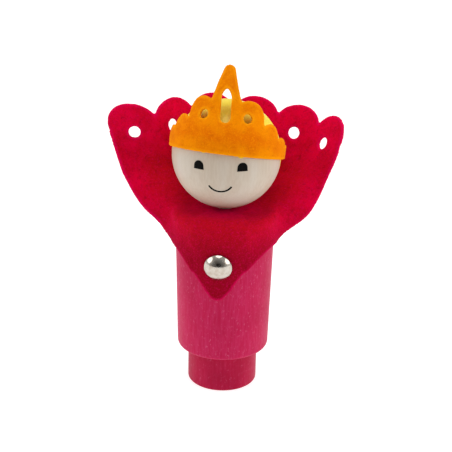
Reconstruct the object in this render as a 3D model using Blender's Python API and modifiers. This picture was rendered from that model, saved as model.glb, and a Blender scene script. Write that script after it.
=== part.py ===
"""Craft stick puppet: a turned wooden sleeve and hand stick, a ball head, a felt collar and crown.

The puppet stands on the end of its stick, faces -Y and has +Z up. The sleeve, the felt collar and
its dome nail are one body. The stick runs up inside the sleeve and carries the head on a dowel, so
turning the stick turns the head. The felt crown lifts off the head along its own tilted axis.

Run it with: blender --background --python part.py
"""

from math import asin, cos, degrees, pi, radians, sin

import bpy
from mathutils import Euler, Vector

MM = 0.001
OBJECT_NAME = "craft_stick_puppet"

# Clearance that neighbouring pieces keep.
GAP = 0.3 * MM

# Hand stick: the turned peg that the hand holds.
STICK_RADIUS = 12.0 * MM
STICK_TOP = 44.7 * MM
STICK_EDGE = 1.1 * MM
DOWEL_SEAT_DEPTH = 15.0 * MM

# Body sleeve: a slightly tapered turned tube that turns on the stick.
SLEEVE_BOTTOM = 13.8 * MM
SLEEVE_TOP = 63.0 * MM
SLEEVE_RADIUS_BOTTOM = 15.75 * MM
SLEEVE_RADIUS_TOP = 16.95 * MM
SLEEVE_EDGE_BOTTOM = 1.35 * MM
SLEEVE_EDGE_TOP = 0.9 * MM
TURNED_STEPS = 48

# Neck dowel: joins the stick to the head through the sleeve's top.
DOWEL_RADIUS = 3.0 * MM
DOWEL_LENGTH = 45.0 * MM
DOWEL_CHAMFER = 0.5 * MM

# Head: a plain wooden ball with a blind bore from below.
HEAD_RADIUS = 18.18 * MM
HEAD_CENTRE = Vector((0.0, 0.0, 82.94 * MM))

# Felt collar: one flat pattern, an annulus round the neck with a pointed flap and six lobes.
FELT_THICKNESS = 1.1 * MM
COLLAR_NECK_RADIUS = 3.6 * MM
COLLAR_HOLE_RADIUS = 2.05 * MM
LOBE_RADIUS = 9.0 * MM
# Round holes: the place along the lobes, from -3 to 3, and the distance from the edge in mm.
COLLAR_HOLES = ((-2.57, 10.6), (-1.62, 9.0), (-0.5, 10.7), (0.5, 10.7), (1.5, 10.2), (2.5, 10.5))
LOBE_INNER_ANGLE = radians(62.0)
WING_START = 118.0
RINGS_ON_TOP = 2
RINGS_BEYOND = 7

# Flap edge: angle from the front and height of the felt's lower edge on the sleeve.
FLAP_EDGE = (
    (-76.0, 52.4), (-64.0, 52.6), (-50.0, 51.5), (-36.0, 48.1), (-24.0, 44.3), (-12.0, 40.2),
    (-5.0, 38.4), (0.0, 38.0), (5.0, 38.4), (12.0, 40.6), (22.0, 44.6), (36.0, 49.0),
    (52.0, 52.3), (68.0, 53.7), (86.0, 53.7),
)

# Wing side edges: angle at the neck, then the edge's place, its slope and how far the felt wraps
# the sleeve's rim before it leaves it.
RIGHT_EDGE = (
    (91.0, (20.0, 0.2, 56.0), -40.0, 62.0),
    (95.0, (23.2, 1.5, 57.9), -15.0, 38.0),
    (99.0, (26.9, 2.9, 60.6), 12.0, 22.0),
    (103.0, (29.5, 4.2, 64.0), 35.0, 12.0),
    (107.0, (31.9, 5.5, 69.0), 52.0, 6.0),
    (111.0, (34.3, 6.8, 75.5), 60.0, 2.0),
    (115.0, (36.6, 8.1, 82.0), 66.0, 0.0),
)
LEFT_EDGE = (
    (-83.0, (-20.3, -3.0, 55.9), -42.0, 62.0),
    (-88.0, (-23.1, -2.6, 59.1), -20.0, 38.0),
    (-93.0, (-26.6, -1.5, 61.4), 4.0, 22.0),
    (-98.0, (-30.2, 0.4, 64.6), 28.0, 12.0),
    (-104.0, (-34.6, 3.6, 70.2), 45.0, 6.0),
    (-110.0, (-37.9, 6.6, 76.4), 57.0, 2.0),
    (-114.0, (-39.9, 8.4, 81.5), 64.0, 0.0),
)

# Wing rim: the line that touches the lobes' tops, at the ends of each lobe, left to right.
RIM_LINE = (
    (-45.0, 10.4, 94.8), (-27.7, 12.3, 96.0), (-16.1, 24.6, 96.3), (-0.8, 29.4, 96.0),
    (15.9, 28.2, 94.6), (31.0, 21.6, 93.3), (40.4, 9.6, 93.0),
)
RIM_SLOPE = 68.0
FLAP_SLOPE = -89.0
FLAP_END = 76.0
RIM_RINGS = 3
# Spokes of the collar on half the flap, on each wing's side edge and on each wing's rim.
FLAP_SPOKES = 15
SIDE_SPOKES = 13
RIM_SPOKES = 27
# How the felt bends between the sleeve's rim and the wing's edge: the level run, the share of its
# height that stands straight, and the height that counts as a full wall.
BASE_REACH = 11.0 * MM
RIM_REACH = 0.45
WALL_HEIGHT = 24.0 * MM

# Felt crown: a band round the head with lobes that lean in, and a tall pointed lobe in front.
CROWN_THICKNESS = 1.0 * MM
CROWN_TILT_BACK = radians(-14.5)
CROWN_BASE = 0.6 * MM
CROWN_TILT_SIDE = radians(3.7)
CROWN_TURN = radians(-2.5)
CROWN_BAND_HEIGHT = 4.4 * MM
CROWN_ROWS = 6
LOBE_POINTS = 9
BAND_POINTS = 14
# Height above the band's lower edge and the felt's mid radius there.
CROWN_PROFILE = (
    (0.0, 19.0), (5.0, 18.9), (8.0, 17.9), (11.0, 16.4), (15.0, 15.0), (19.0, 13.8),
    (24.0, 11.8), (29.0, 9.2),
)
# Lobes beside the spike: distance from the front along the felt, centre height and radius.
CROWN_LOBES = ((7.7, 12.1, 5.6), (16.4, 6.6, 4.5), (23.2, 1.8, 5.2))
SPIKE_TIP_RADIUS = 2.0 * MM
SPIKE_TIP_HEIGHT = 28.4 * MM
SPIKE_BASE_HALF_WIDTH = 4.9 * MM
SPIKE_BASE_HEIGHT = 17.0 * MM
CROWN_HOLE_RADIUS = 1.45 * MM
CROWN_HOLE_PLACE = (7.2 * MM, 12.0 * MM)
SLOT_WIDTH = 3.3 * MM
SLOT_BOTTOM = 10.0 * MM
SLOT_SHOULDER = 17.5 * MM
SLOT_TOP = 20.9 * MM
SLOT_CUT_FRONT = -22.0 * MM
SLOT_CUT_BACK = -6.0 * MM
CROWN_STEP = 0.2 * MM

# Dome nail through the flap's point into the sleeve.
NAIL_HEIGHT = 49.0 * MM
NAIL_DISTANCE = 18.7 * MM
NAIL_TILT = radians(5.0)
CAP_RADIUS = 4.7 * MM
CAP_RISE = 2.7 * MM
CAP_THICKNESS = 0.5 * MM
SHANK_RADIUS = 0.8 * MM
SHANK_DEPTH = 10.0 * MM

COLLAR_LEVEL = SLEEVE_TOP + GAP + FELT_THICKNESS / 2
WRAP_RADIUS = SLEEVE_EDGE_TOP + GAP + FELT_THICKNESS / 2
WRAP_START = SLEEVE_RADIUS_TOP - SLEEVE_EDGE_TOP


def clear_scene():
    """Remove every object that the scene already holds."""
    for thing in list(bpy.data.objects):
        bpy.data.objects.remove(thing, do_unlink=True)


def new_collection(name):
    """Return a new collection linked to the scene."""
    group = bpy.data.collections.new(name)
    bpy.context.scene.collection.children.link(group)
    return group


def material(name, colour, roughness, metallic=0.0):
    """Return a plain Principled material."""
    surface = bpy.data.materials.new(name)
    surface.use_nodes = True
    shader = surface.node_tree.nodes["Principled BSDF"]
    shader.inputs["Base Color"].default_value = (*colour, 1.0)
    shader.inputs["Roughness"].default_value = roughness
    shader.inputs["Metallic"].default_value = metallic
    return surface


def add_object(name, mesh, group, surface=None):
    """Link a mesh to a collection as a named object."""
    thing = bpy.data.objects.new(name, mesh)
    group.objects.link(thing)
    if surface is not None:
        mesh.materials.append(surface)
    return thing


def mesh_object(name, points, faces, group, surface=None, edges=()):
    """Make an object from points, edges and faces."""
    mesh = bpy.data.meshes.new(name)
    mesh.from_pydata(points, edges, faces)
    mesh.update()
    return add_object(name, mesh, group, surface)


def turned(name, profile, group, surface, closed=False, steps=TURNED_STEPS):
    """Turn a profile of (radius, height) points round the Z axis with a Screw modifier."""
    points = [(radius, 0.0, height) for radius, height in profile]
    edges = [(i, i + 1) for i in range(len(points) - 1)]
    if closed:
        edges.append((len(points) - 1, 0))
    thing = mesh_object(name, points, [], group, surface, edges)
    screw = thing.modifiers.new("turn", "SCREW")
    screw.axis = "Z"
    screw.angle = 2 * pi
    screw.steps = steps
    screw.render_steps = steps
    screw.use_merge_vertices = True
    screw.merge_threshold = 0.00002
    return thing


def arc(centre, radius, start, end, count):
    """Return points along an arc in the profile plane, angles in degrees from +X."""
    turns = [radians(start + (end - start) * i / count) for i in range(count + 1)]
    return [(centre[0] + radius * cos(t), centre[1] + radius * sin(t)) for t in turns]


def cut(thing, cutter):
    """Subtract a cutter with an exact Boolean."""
    boolean = thing.modifiers.new("cut_" + cutter.name, "BOOLEAN")
    boolean.operation = "DIFFERENCE"
    boolean.solver = "EXACT"
    boolean.object = cutter
    cutter.hide_render = True
    cutter.display_type = "WIRE"


def cylinder_cutter(name, radius, start, end, group, sides=24):
    """Make a cylinder between two points, for cutting."""
    bpy.ops.mesh.primitive_cylinder_add(vertices=sides, radius=radius, depth=(end - start).length)
    cutter = bpy.context.object
    cutter.name = name
    cutter.location = (start + end) / 2
    cutter.rotation_euler = (end - start).to_track_quat("Z", "Y").to_euler()
    for owner in list(cutter.users_collection):
        owner.objects.unlink(cutter)
    group.objects.link(cutter)
    return cutter


def empty(name, location, group, rotation=(0.0, 0.0, 0.0)):
    """Make an empty that carries a body on its joint axis."""
    holder = bpy.data.objects.new(name, None)
    holder.location = location
    holder.rotation_euler = rotation
    group.objects.link(holder)
    return holder


def follow_curve(table, key):
    """Return the smooth interpolation of a table of (key, values...) rows at a key."""
    keys = [row[0] for row in table]
    last = len(keys) - 2
    index = min(max(sum(1 for value in keys if value <= key) - 1, 0), last)
    span = keys[index + 1] - keys[index]
    share = min(max((key - keys[index]) / span, 0.0), 1.0)
    before = table[max(index - 1, 0)]
    after = table[min(index + 2, len(keys) - 1)]
    result = []
    for column in range(1, len(table[0])):
        here = table[index][column]
        there = table[index + 1][column]
        rise_in = (there - before[column]) * span / (keys[index + 1] - before[0])
        rise_out = (after[column] - here) * span / (after[0] - keys[index])
        result.append(
            (2 * share**3 - 3 * share**2 + 1) * here
            + (share**3 - 2 * share**2 + share) * rise_in
            + (3 * share**2 - 2 * share**3) * there
            + (share**3 - share**2) * rise_out
        )
    return result


def heading(angle):
    """Return the horizontal direction at an angle in degrees from the front, +X positive."""
    return Vector((sin(radians(angle)), -cos(radians(angle)), 0.0))


def sleeve_radius(height):
    """Return the sleeve's outer radius at a height."""
    share = (height - SLEEVE_BOTTOM) / (SLEEVE_TOP - SLEEVE_BOTTOM)
    return SLEEVE_RADIUS_BOTTOM + (SLEEVE_RADIUS_TOP - SLEEVE_RADIUS_BOTTOM) * share


def felt_radius(height):
    """Return the mid radius of felt that lies on the sleeve at a height."""
    return sleeve_radius(height) + GAP + FELT_THICKNESS / 2


def edge_table(side):
    """Return one side's rows (angle, x, y, z, slope, wrap) for the flap's and the wing's edge."""
    rows = []
    for angle, height in FLAP_EDGE:
        if angle * side >= -12.0:
            spot = heading(angle) * (felt_radius(height * MM) / MM)
            rows.append((angle, spot.x, spot.y, height, -90.0, 90.0))
    wing = RIGHT_EDGE if side > 0 else LEFT_EDGE
    rows += [(angle, *place, slope, wrap) for angle, place, slope, wrap in wing]
    corner = rim_line(3.0 * side)
    end = (corner - end_direction(corner, RIM_SLOPE) * LOBE_RADIUS) / MM
    rows.append((side * WING_START, end.x, end.y, end.z, RIM_SLOPE, 0.0))
    return sorted(rows)


def rim_line(lobe):
    """Return the point of the lobe-top line at a lobe coordinate from -3 to 3."""
    table = [(index - 3.0, *place) for index, place in enumerate(RIM_LINE)]
    return Vector(follow_curve(table, lobe)) * MM


def end_direction(place, slope):
    """Return the direction in which the felt runs off its edge, outwards at a slope in degrees."""
    outward = Vector((place.x, place.y, 0.0)).normalized()
    return outward * cos(radians(slope)) + Vector((0.0, 0.0, sin(radians(slope))))


EDGE_TABLES = {1: edge_table(1), -1: edge_table(-1)}


def lobe_edge(lobe):
    """Return the lobe-top point for a lobe coordinate and how far the round edge lies below it."""
    number = min(int(abs(lobe)), 2)
    share = 2.0 * (abs(lobe) - number) - 1.0
    widest = pi / 2 if number == 2 and share > 0 else LOBE_INNER_ANGLE
    turn = share * widest
    low = -sin(LOBE_INNER_ANGLE)
    high = 1.0 if number == 2 else sin(LOBE_INNER_ANGLE)
    along = number + (sin(turn) - low) / (high - low)
    side = 1.0 if lobe >= 0 else -1.0
    return rim_line(side * along), LOBE_RADIUS * (1.0 - cos(turn))


def spoke_end(angle):
    """Return where a spoke of the collar ends, its direction there and its wrap angle."""
    side = 1 if angle >= 0 else -1
    if abs(angle) > WING_START:
        lobe = side * (180.0 - abs(angle)) / (180.0 - WING_START) * 3.0
        top, depth = lobe_edge(lobe)
        tangent = end_direction(top, RIM_SLOPE)
        return top - tangent * depth, tangent, 0.0
    x, y, z, slope, wrap = follow_curve(EDGE_TABLES[side], angle)
    place = Vector((x, y, z)) * MM
    if slope <= FLAP_SLOPE:
        place = heading(angle) * felt_radius(place.z) + Vector((0.0, 0.0, place.z))
    return place, end_direction(place, max(slope, FLAP_SLOPE)), min(max(wrap, 0.0), 90.0)


def bezier(a, b, c, d, share):
    """Return a point of a cubic Bezier."""
    rest = 1.0 - share
    return a * rest**3 + b * (3 * rest**2 * share) + c * (3 * rest * share**2) + d * share**3


def spoke_path(angle):
    """Return the felt's line from the sleeve's rim out to its edge."""
    place, tangent, wrap = spoke_end(angle)
    out = heading(angle)
    up = Vector((0.0, 0.0, 1.0))
    centre = out * WRAP_START + up * (COLLAR_LEVEL - WRAP_RADIUS)
    path = []
    for step in range(9):
        turn = radians(wrap) * step / 8
        path.append(centre + (out * sin(turn) + up * cos(turn)) * WRAP_RADIUS)
    start = path[-1]
    leave = out * cos(radians(wrap)) - up * sin(radians(wrap))
    third = (place - start).length / 3
    height = place.z - start.z
    rise = min(max(height / WALL_HEIGHT, 0.0), 1.0)
    first = start + leave * (third * (1 - rise) + BASE_REACH * rise)
    second = place - tangent * (third * (1 - rise) + RIM_REACH * height * rise)
    return path + [bezier(start, first, second, place, step / 24) for step in range(1, 25)]


def path_length(path):
    """Return the length of a polyline."""
    return sum((after - before).length for before, after in zip(path, path[1:]))


def walk(path, length):
    """Return the point of a polyline at a distance from its start."""
    for before, after in zip(path, path[1:]):
        step = (after - before).length
        if length <= step and step > 0.0:
            return before.lerp(after, length / step)
        length -= step
    return path[-1]


def collar_angles():
    """Return the spokes' angles: even on the flap, closer on the wings' edges and lobes."""
    side = WING_START - FLAP_END
    rim = 180.0 - WING_START
    half = [FLAP_END * step / FLAP_SPOKES for step in range(FLAP_SPOKES)]
    half += [FLAP_END + side * step / SIDE_SPOKES for step in range(SIDE_SPOKES)]
    half += [WING_START + rim * step / RIM_SPOKES for step in range(RIM_SPOKES + 1)]
    return half[:-1] + [-angle for angle in half[:0:-1]]


def collar_spoke(angle):
    """Return one column of the collar's mid surface, from the neck hole to the edge."""
    path = spoke_path(angle)
    level = Vector((0.0, 0.0, COLLAR_LEVEL))
    width = WRAP_START - COLLAR_NECK_RADIUS
    column = []
    for ring in range(RINGS_ON_TOP):
        column.append(heading(angle) * (COLLAR_NECK_RADIUS + width * ring / RINGS_ON_TOP) + level)
    bend = WRAP_RADIUS * pi / 2
    rest = path_length(path) - bend
    stops = [bend * ring / RIM_RINGS for ring in range(RIM_RINGS)]
    stops += [bend + rest * ring / RINGS_BEYOND for ring in range(RINGS_BEYOND + 1)]
    return column + [walk(path, stop) for stop in stops]


def sheet_faces(columns, rows):
    """Return the quads of a grid of columns that closes on itself."""
    faces = []
    for column in range(columns):
        after = (column + 1) % columns
        for row in range(rows - 1):
            here = column * rows + row
            there = after * rows + row
            faces.append((here, there, there + 1, here + 1))
    return faces


def thicken(thing, thickness):
    """Give a sheet its thickness, half to each side."""
    solid = thing.modifiers.new("felt", "SOLIDIFY")
    solid.thickness = thickness
    solid.offset = 0.0
    solid.use_even_offset = True


def lobe_hole_cutter(name, lobe, drop, cutters):
    """Make the cutter of a lobe's round hole, square to the felt, at a distance from the edge."""
    side = 1.0 if lobe > 0 else -1.0
    angle = side * (180.0 - abs(lobe) / 3.0 * (180.0 - WING_START))
    path = spoke_path(angle)
    beside = spoke_path(angle + 2.0)
    depth = path_length(path) - drop
    centre = walk(path, depth)
    along = walk(path, depth + 1.0 * MM) - centre
    across = walk(beside, path_length(beside) - drop) - centre
    reach = along.cross(across).normalized() * (4.0 * MM)
    return cylinder_cutter(name, COLLAR_HOLE_RADIUS, centre - reach, centre + reach, cutters)


def build_collar(group, cutters, surface, nail_bore):
    """Build the felt collar with its lobes, lobe holes and nail hole."""
    columns = [collar_spoke(angle) for angle in collar_angles()]
    points = [point for column in columns for point in column]
    faces = sheet_faces(len(columns), len(columns[0]))
    collar = mesh_object("felt_collar", points, faces, group, surface)
    thicken(collar, FELT_THICKNESS)
    for number, (lobe, drop) in enumerate(COLLAR_HOLES):
        name = "collar_hole_%d" % (number + 1)
        cut(collar, lobe_hole_cutter(name, lobe, drop * MM, cutters))
    cut(collar, nail_bore)
    return collar


def crown_radius(height):
    """Return the felt's mid radius at a height above the crown's lower edge."""
    return follow_curve(CROWN_PROFILE, height / MM)[0] * MM


def crown_point(along, height):
    """Return the point of the crown's mid surface, in the crown's own frame."""
    radius = crown_radius(height)
    turn = along / radius
    return Vector((radius * sin(turn), -radius * cos(turn), height))


def crown_outline():
    """Return the upper edge of one half of the crown: (distance from the front, height) pairs."""
    tip = (0.0, SPIKE_TIP_HEIGHT - SPIKE_TIP_RADIUS)
    edge = arc(tip, SPIKE_TIP_RADIUS, 90.0, 16.0, 6)
    run = SPIKE_BASE_HALF_WIDTH - edge[-1][0]
    fall = SPIKE_BASE_HEIGHT - edge[-1][1]
    top = edge[-1]
    edge += [(top[0] + run * step / 5, top[1] + fall * step / 5) for step in range(1, 6)]
    for along, height, radius in CROWN_LOBES:
        reached = edge[-1][0]
        round_edge = arc((along * MM, height * MM), radius * MM, 130.0, 8.0, LOBE_POINTS)
        first = reached + CROWN_STEP
        edge += [spot for spot in round_edge if spot[0] > first and spot[1] > CROWN_BAND_HEIGHT]
    back = pi * crown_radius(0.0)
    first = edge[-1][0] + CROWN_STEP
    width = (back - first) / BAND_POINTS
    edge += [(first + width * step, CROWN_BAND_HEIGHT) for step in range(BAND_POINTS + 1)]
    return edge


def slot_cutter(cutters, holder):
    """Make the cutter of the pointed slot in the crown's front lobe."""
    half = SLOT_WIDTH / 2
    rise = SLOT_TOP - SLOT_SHOULDER
    reach = (rise**2 + half**2) / (2 * half)
    sweep = degrees(asin(rise / reach))
    right_arch = arc((half - reach, SLOT_SHOULDER), reach, 0.0, sweep, 5)
    left_arch = [(-x, z) for x, z in right_arch[-2::-1]]
    outline = arc((0.0, SLOT_BOTTOM + half), half, 180.0, 360.0, 8) + right_arch + left_arch
    count = len(outline)
    points = [(x, SLOT_CUT_FRONT, z) for x, z in outline]
    points += [(x, SLOT_CUT_BACK, z) for x, z in outline]
    faces = [tuple(range(count)), tuple(range(2 * count - 1, count - 1, -1))]
    for here in range(count):
        after = (here + 1) % count
        faces.append((here, count + here, count + after, after))
    cutter = mesh_object("crown_slot", points, faces, cutters)
    cutter.parent = holder
    return cutter


def build_crown(group, cutters, surface, holder):
    """Build the felt crown in the frame of its tilted holder."""
    half = crown_outline()
    outline = half[:-1] + [(-along, height) for along, height in half[:0:-1]]
    shares = [row / (CROWN_ROWS - 1) for row in range(CROWN_ROWS)]
    points = [crown_point(along, height * share) for along, height in outline for share in shares]
    crown = mesh_object(
        "felt_crown", points, sheet_faces(len(outline), CROWN_ROWS), group, surface
    )
    crown.parent = holder
    thicken(crown, CROWN_THICKNESS)
    cut(crown, slot_cutter(cutters, holder))
    for name, side in (("crown_hole_left", -1.0), ("crown_hole_right", 1.0)):
        centre = crown_point(side * CROWN_HOLE_PLACE[0], CROWN_HOLE_PLACE[1])
        reach = Vector((centre.x, centre.y, 0.0)).normalized() * (3.0 * MM)
        cutter = cylinder_cutter(
            name, CROWN_HOLE_RADIUS, centre - reach, centre + reach, cutters
        )
        cutter.parent = holder
        cut(crown, cutter)
    return crown


def build_sleeve(group, surface, nail_bore):
    """Build the body sleeve: a tapered tube with a neck bore through its top."""
    neck = DOWEL_RADIUS + GAP
    bore = STICK_RADIUS + GAP
    ceiling = STICK_TOP + GAP
    top = (SLEEVE_RADIUS_TOP - SLEEVE_EDGE_TOP, SLEEVE_TOP - SLEEVE_EDGE_TOP)
    foot = (SLEEVE_RADIUS_BOTTOM - SLEEVE_EDGE_BOTTOM, SLEEVE_BOTTOM + SLEEVE_EDGE_BOTTOM)
    profile = [(neck, SLEEVE_TOP)]
    profile += arc(top, SLEEVE_EDGE_TOP, 90.0, 0.0, 3)
    profile += arc(foot, SLEEVE_EDGE_BOTTOM, 0.0, -90.0, 4)
    profile += [(bore, SLEEVE_BOTTOM), (bore, ceiling), (neck, ceiling)]
    sleeve = turned("body_sleeve", profile, group, surface, closed=True)
    cut(sleeve, nail_bore)
    return sleeve


def build_stick(group, surface):
    """Build the hand stick with its blind seat for the dowel."""
    seat = DOWEL_RADIUS + GAP
    floor = STICK_TOP - DOWEL_SEAT_DEPTH
    profile = [(0.0, floor), (seat, floor), (seat, STICK_TOP), (STICK_RADIUS, STICK_TOP)]
    profile += arc((STICK_RADIUS - STICK_EDGE, STICK_EDGE), STICK_EDGE, 0.0, -90.0, 4)
    profile.append((0.0, 0.0))
    return turned("hand_stick", profile, group, surface)


def build_dowel(group, surface):
    """Build the neck dowel."""
    low = STICK_TOP - DOWEL_SEAT_DEPTH + GAP
    high = low + DOWEL_LENGTH
    inner = DOWEL_RADIUS - DOWEL_CHAMFER
    profile = [
        (0.0, high), (inner, high), (DOWEL_RADIUS, high - DOWEL_CHAMFER),
        (DOWEL_RADIUS, low + DOWEL_CHAMFER), (inner, low), (0.0, low),
    ]
    return turned("neck_dowel", profile, group, surface, steps=32)


def build_head(group, cutters, surface):
    """Build the ball head with its blind bore."""
    bpy.ops.mesh.primitive_uv_sphere_add(segments=40, ring_count=20, radius=HEAD_RADIUS)
    head = bpy.context.object
    head.name = "head_ball"
    head.location = HEAD_CENTRE
    for owner in list(head.users_collection):
        owner.objects.unlink(head)
    group.objects.link(head)
    head.data.materials.append(surface)
    roof = STICK_TOP - DOWEL_SEAT_DEPTH + GAP + DOWEL_LENGTH + GAP
    start = HEAD_CENTRE - Vector((0.0, 0.0, HEAD_RADIUS + 5.0 * MM))
    end = Vector((0.0, 0.0, roof))
    cut(head, cylinder_cutter("head_bore", DOWEL_RADIUS + GAP, start, end, cutters, 32))
    return head


def build_nail(group, surface, holder):
    """Build the dome nail's hollow cap and its shank, in the nail's own frame."""
    radius = (CAP_RADIUS**2 + CAP_RISE**2) / (2 * CAP_RISE)
    level = CAP_RISE - radius
    edge = degrees(asin(-level / radius))
    inner = radius - CAP_THICKNESS
    inner_edge = degrees(asin(-level / inner))
    profile = arc((0.0, level), radius, 90.0, edge, 9)
    profile += arc((0.0, level), inner, inner_edge, 90.0, 9)
    profile[0] = (0.0, profile[0][1])
    profile[-1] = (0.0, profile[-1][1])
    cap = turned("nail_cap", profile, group, surface, steps=32)
    cap.parent = holder
    head = CAP_RISE - CAP_THICKNESS - GAP
    point = -SHANK_DEPTH
    profile = [
        (0.0, head), (SHANK_RADIUS, head - SHANK_RADIUS / 4), (SHANK_RADIUS, point + SHANK_RADIUS),
        (0.0, point),
    ]
    shank = turned("nail_shank", profile, group, surface, steps=16)
    shank.parent = holder


def nail_bore_cutter(cutters, holder):
    """Make the cutter of the nail's hole through the felt and into the sleeve."""
    start = Vector((0.0, 0.0, -SHANK_DEPTH - GAP))
    end = Vector((0.0, 0.0, 1.0 * MM))
    cutter = cylinder_cutter("nail_bore", SHANK_RADIUS + GAP, start, end, cutters, 16)
    cutter.parent = holder
    return cutter


def main():
    """Build the puppet."""
    clear_scene()
    group = new_collection(OBJECT_NAME)
    cutters = new_collection("cutters")
    sleeve_wood = material("stained_sleeve_wood", (0.52, 0.035, 0.12), 0.55)
    stick_wood = material("stained_stick_wood", (0.40, 0.012, 0.06), 0.5)
    pale_wood = material("natural_wood", (0.70, 0.58, 0.47), 0.5)
    magenta_felt = material("magenta_felt", (0.42, 0.004, 0.03), 0.95)
    orange_felt = material("orange_felt", (0.83, 0.26, 0.005), 0.95)
    nickel = material("nickel", (0.72, 0.70, 0.66), 0.15, metallic=1.0)

    turning_head = empty("turning_head", (0.0, 0.0, 0.0), group)
    crown_turn = Euler((CROWN_TILT_BACK, CROWN_TILT_SIDE, CROWN_TURN))
    crown_base = HEAD_CENTRE + crown_turn.to_matrix() @ Vector((0.0, 0.0, CROWN_BASE))
    crown_holder = empty("crown_axis", crown_base, group, crown_turn)
    crown_holder.parent = turning_head
    nail_holder = empty("nail_axis", (0.0, -NAIL_DISTANCE, NAIL_HEIGHT), group,
                        (pi / 2 + NAIL_TILT, 0.0, 0.0))
    nail_bore = nail_bore_cutter(cutters, nail_holder)

    build_sleeve(group, sleeve_wood, nail_bore)
    build_collar(group, cutters, magenta_felt, nail_bore)
    build_nail(group, nickel, nail_holder)
    build_stick(group, stick_wood).parent = turning_head
    build_dowel(group, pale_wood).parent = turning_head
    build_head(group, cutters, pale_wood).parent = turning_head
    build_crown(group, cutters, orange_felt, crown_holder)
    bpy.context.view_layer.update()


if __name__ == "__main__":
    main()
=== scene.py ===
"""Craft stick puppet, dressed: stained turned beech, pressed wool felt and a nickel-plated nail.

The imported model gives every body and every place. The sleeve, the stick, the head, the nail's cap
and both felts are modelled again with soft edges, the face is printed on the head, and the neck
dowel and the nail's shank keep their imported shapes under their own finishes. The puppet faces -Y.
"""

import logging
from collections.abc import Callable, Sequence
from dataclasses import dataclass
from enum import Enum
from math import asin, cos, degrees, pi, radians, sin

import bmesh
import bpy
import numpy as np
from mathutils import Euler, Matrix, Vector, kdtree


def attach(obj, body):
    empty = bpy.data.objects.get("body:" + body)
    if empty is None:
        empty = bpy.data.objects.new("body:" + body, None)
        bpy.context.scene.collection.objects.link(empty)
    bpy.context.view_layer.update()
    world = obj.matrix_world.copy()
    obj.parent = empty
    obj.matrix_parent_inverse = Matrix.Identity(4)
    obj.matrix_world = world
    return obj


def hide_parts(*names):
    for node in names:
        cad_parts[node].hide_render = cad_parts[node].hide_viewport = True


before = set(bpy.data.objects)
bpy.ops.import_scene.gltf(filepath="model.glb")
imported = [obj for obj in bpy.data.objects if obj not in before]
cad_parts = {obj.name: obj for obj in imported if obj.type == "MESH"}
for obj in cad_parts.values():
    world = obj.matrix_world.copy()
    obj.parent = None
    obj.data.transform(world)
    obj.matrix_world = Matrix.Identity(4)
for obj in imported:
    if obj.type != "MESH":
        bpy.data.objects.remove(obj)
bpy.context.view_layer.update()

MM = 0.001
GAP = 0.3 * MM
UP = Vector((0.0, 0.0, 1.0))
LOG = logging.getLogger("puppet")
# How close a point has to lie to count as on a level, and as on a rim or an axis.
TOUCH = 0.01 * MM
NEAR = 0.1 * MM

# Places of whole sub-assemblies, which several classes share.
SLEEVE_TOP = 63.0 * MM
SLEEVE_TOP_RADIUS = 16.95 * MM
SLEEVE_TOP_EDGE = 0.9 * MM
SLEEVE_BOTTOM = 13.8 * MM
SLEEVE_BOTTOM_RADIUS = 15.75 * MM
STICK_TOP = 44.7 * MM
DOWEL_BORE = 3.3 * MM
SHANK_HOLE = 1.1 * MM
HEAD_CENTRE = Vector((0.0, 0.0, 82.94 * MM))
HEAD_RADIUS = 18.18 * MM
CROWN_TURN = Euler((radians(-14.5), radians(3.7), radians(-2.5)))
CROWN_BASE = HEAD_CENTRE + CROWN_TURN.to_matrix() @ Vector((0.0, 0.0, 0.6 * MM))
CROWN_FRAME = Matrix.Translation(CROWN_BASE) @ CROWN_TURN.to_matrix().to_4x4()
NAIL_FRAME = (
    Matrix.Translation((0.0, -18.7 * MM, 49.0 * MM)) @ Matrix.Rotation(radians(95.0), 4, "X")
)


class Body(Enum):
    """The bodies that pieces ride on."""

    SLEEVE = "body"
    HEAD = "turning_head"
    CROWN = "crown"


class Element(Enum):
    """What an edit-mode selection picks."""

    VERTEX = "VERT"
    EDGE = "EDGE"
    FACE = "FACE"


def linear(code: str) -> tuple[float, float, float, float]:
    """Turn an sRGB hex colour into linear light.

    Args:
        code: The colour as "#RRGGBB".

    Returns:
        Linear red, green, blue and an alpha of one.
    """
    channels = [int(code[start:start + 2], 16) / 255 for start in (1, 3, 5)]
    curve = [c / 12.92 if c <= 0.04045 else ((c + 0.055) / 1.055) ** 2.4 for c in channels]
    return (*curve, 1.0)


def add_node(
    tree: bpy.types.NodeTree, kind: str, inputs: dict | None = None, **settings: object
) -> bpy.types.Node:
    """Add a node with its settings and links.

    Args:
        tree: The node tree that the node joins.
        kind: The node's type name.
        inputs: For each input's name or number, a value, or the output socket that feeds it.
        settings: Values of the node's own properties.

    Returns:
        The new node.
    """
    node = tree.nodes.new(kind)
    for name, value in settings.items():
        setattr(node, name, value)
    for name, value in (inputs or {}).items():
        if isinstance(value, bpy.types.NodeSocket):
            tree.links.new(value, node.inputs[name])
        else:
            node.inputs[name].default_value = value
    return node


def blank_material(name: str) -> tuple[bpy.types.Material, bpy.types.NodeTree, bpy.types.Node]:
    """Make a material with its Principled shader.

    Args:
        name: The material's name.

    Returns:
        The material, its node tree and its shader.
    """
    surface = bpy.data.materials.new(name)
    surface.use_nodes = True
    return surface, surface.node_tree, surface.node_tree.nodes["Principled BSDF"]


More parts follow.
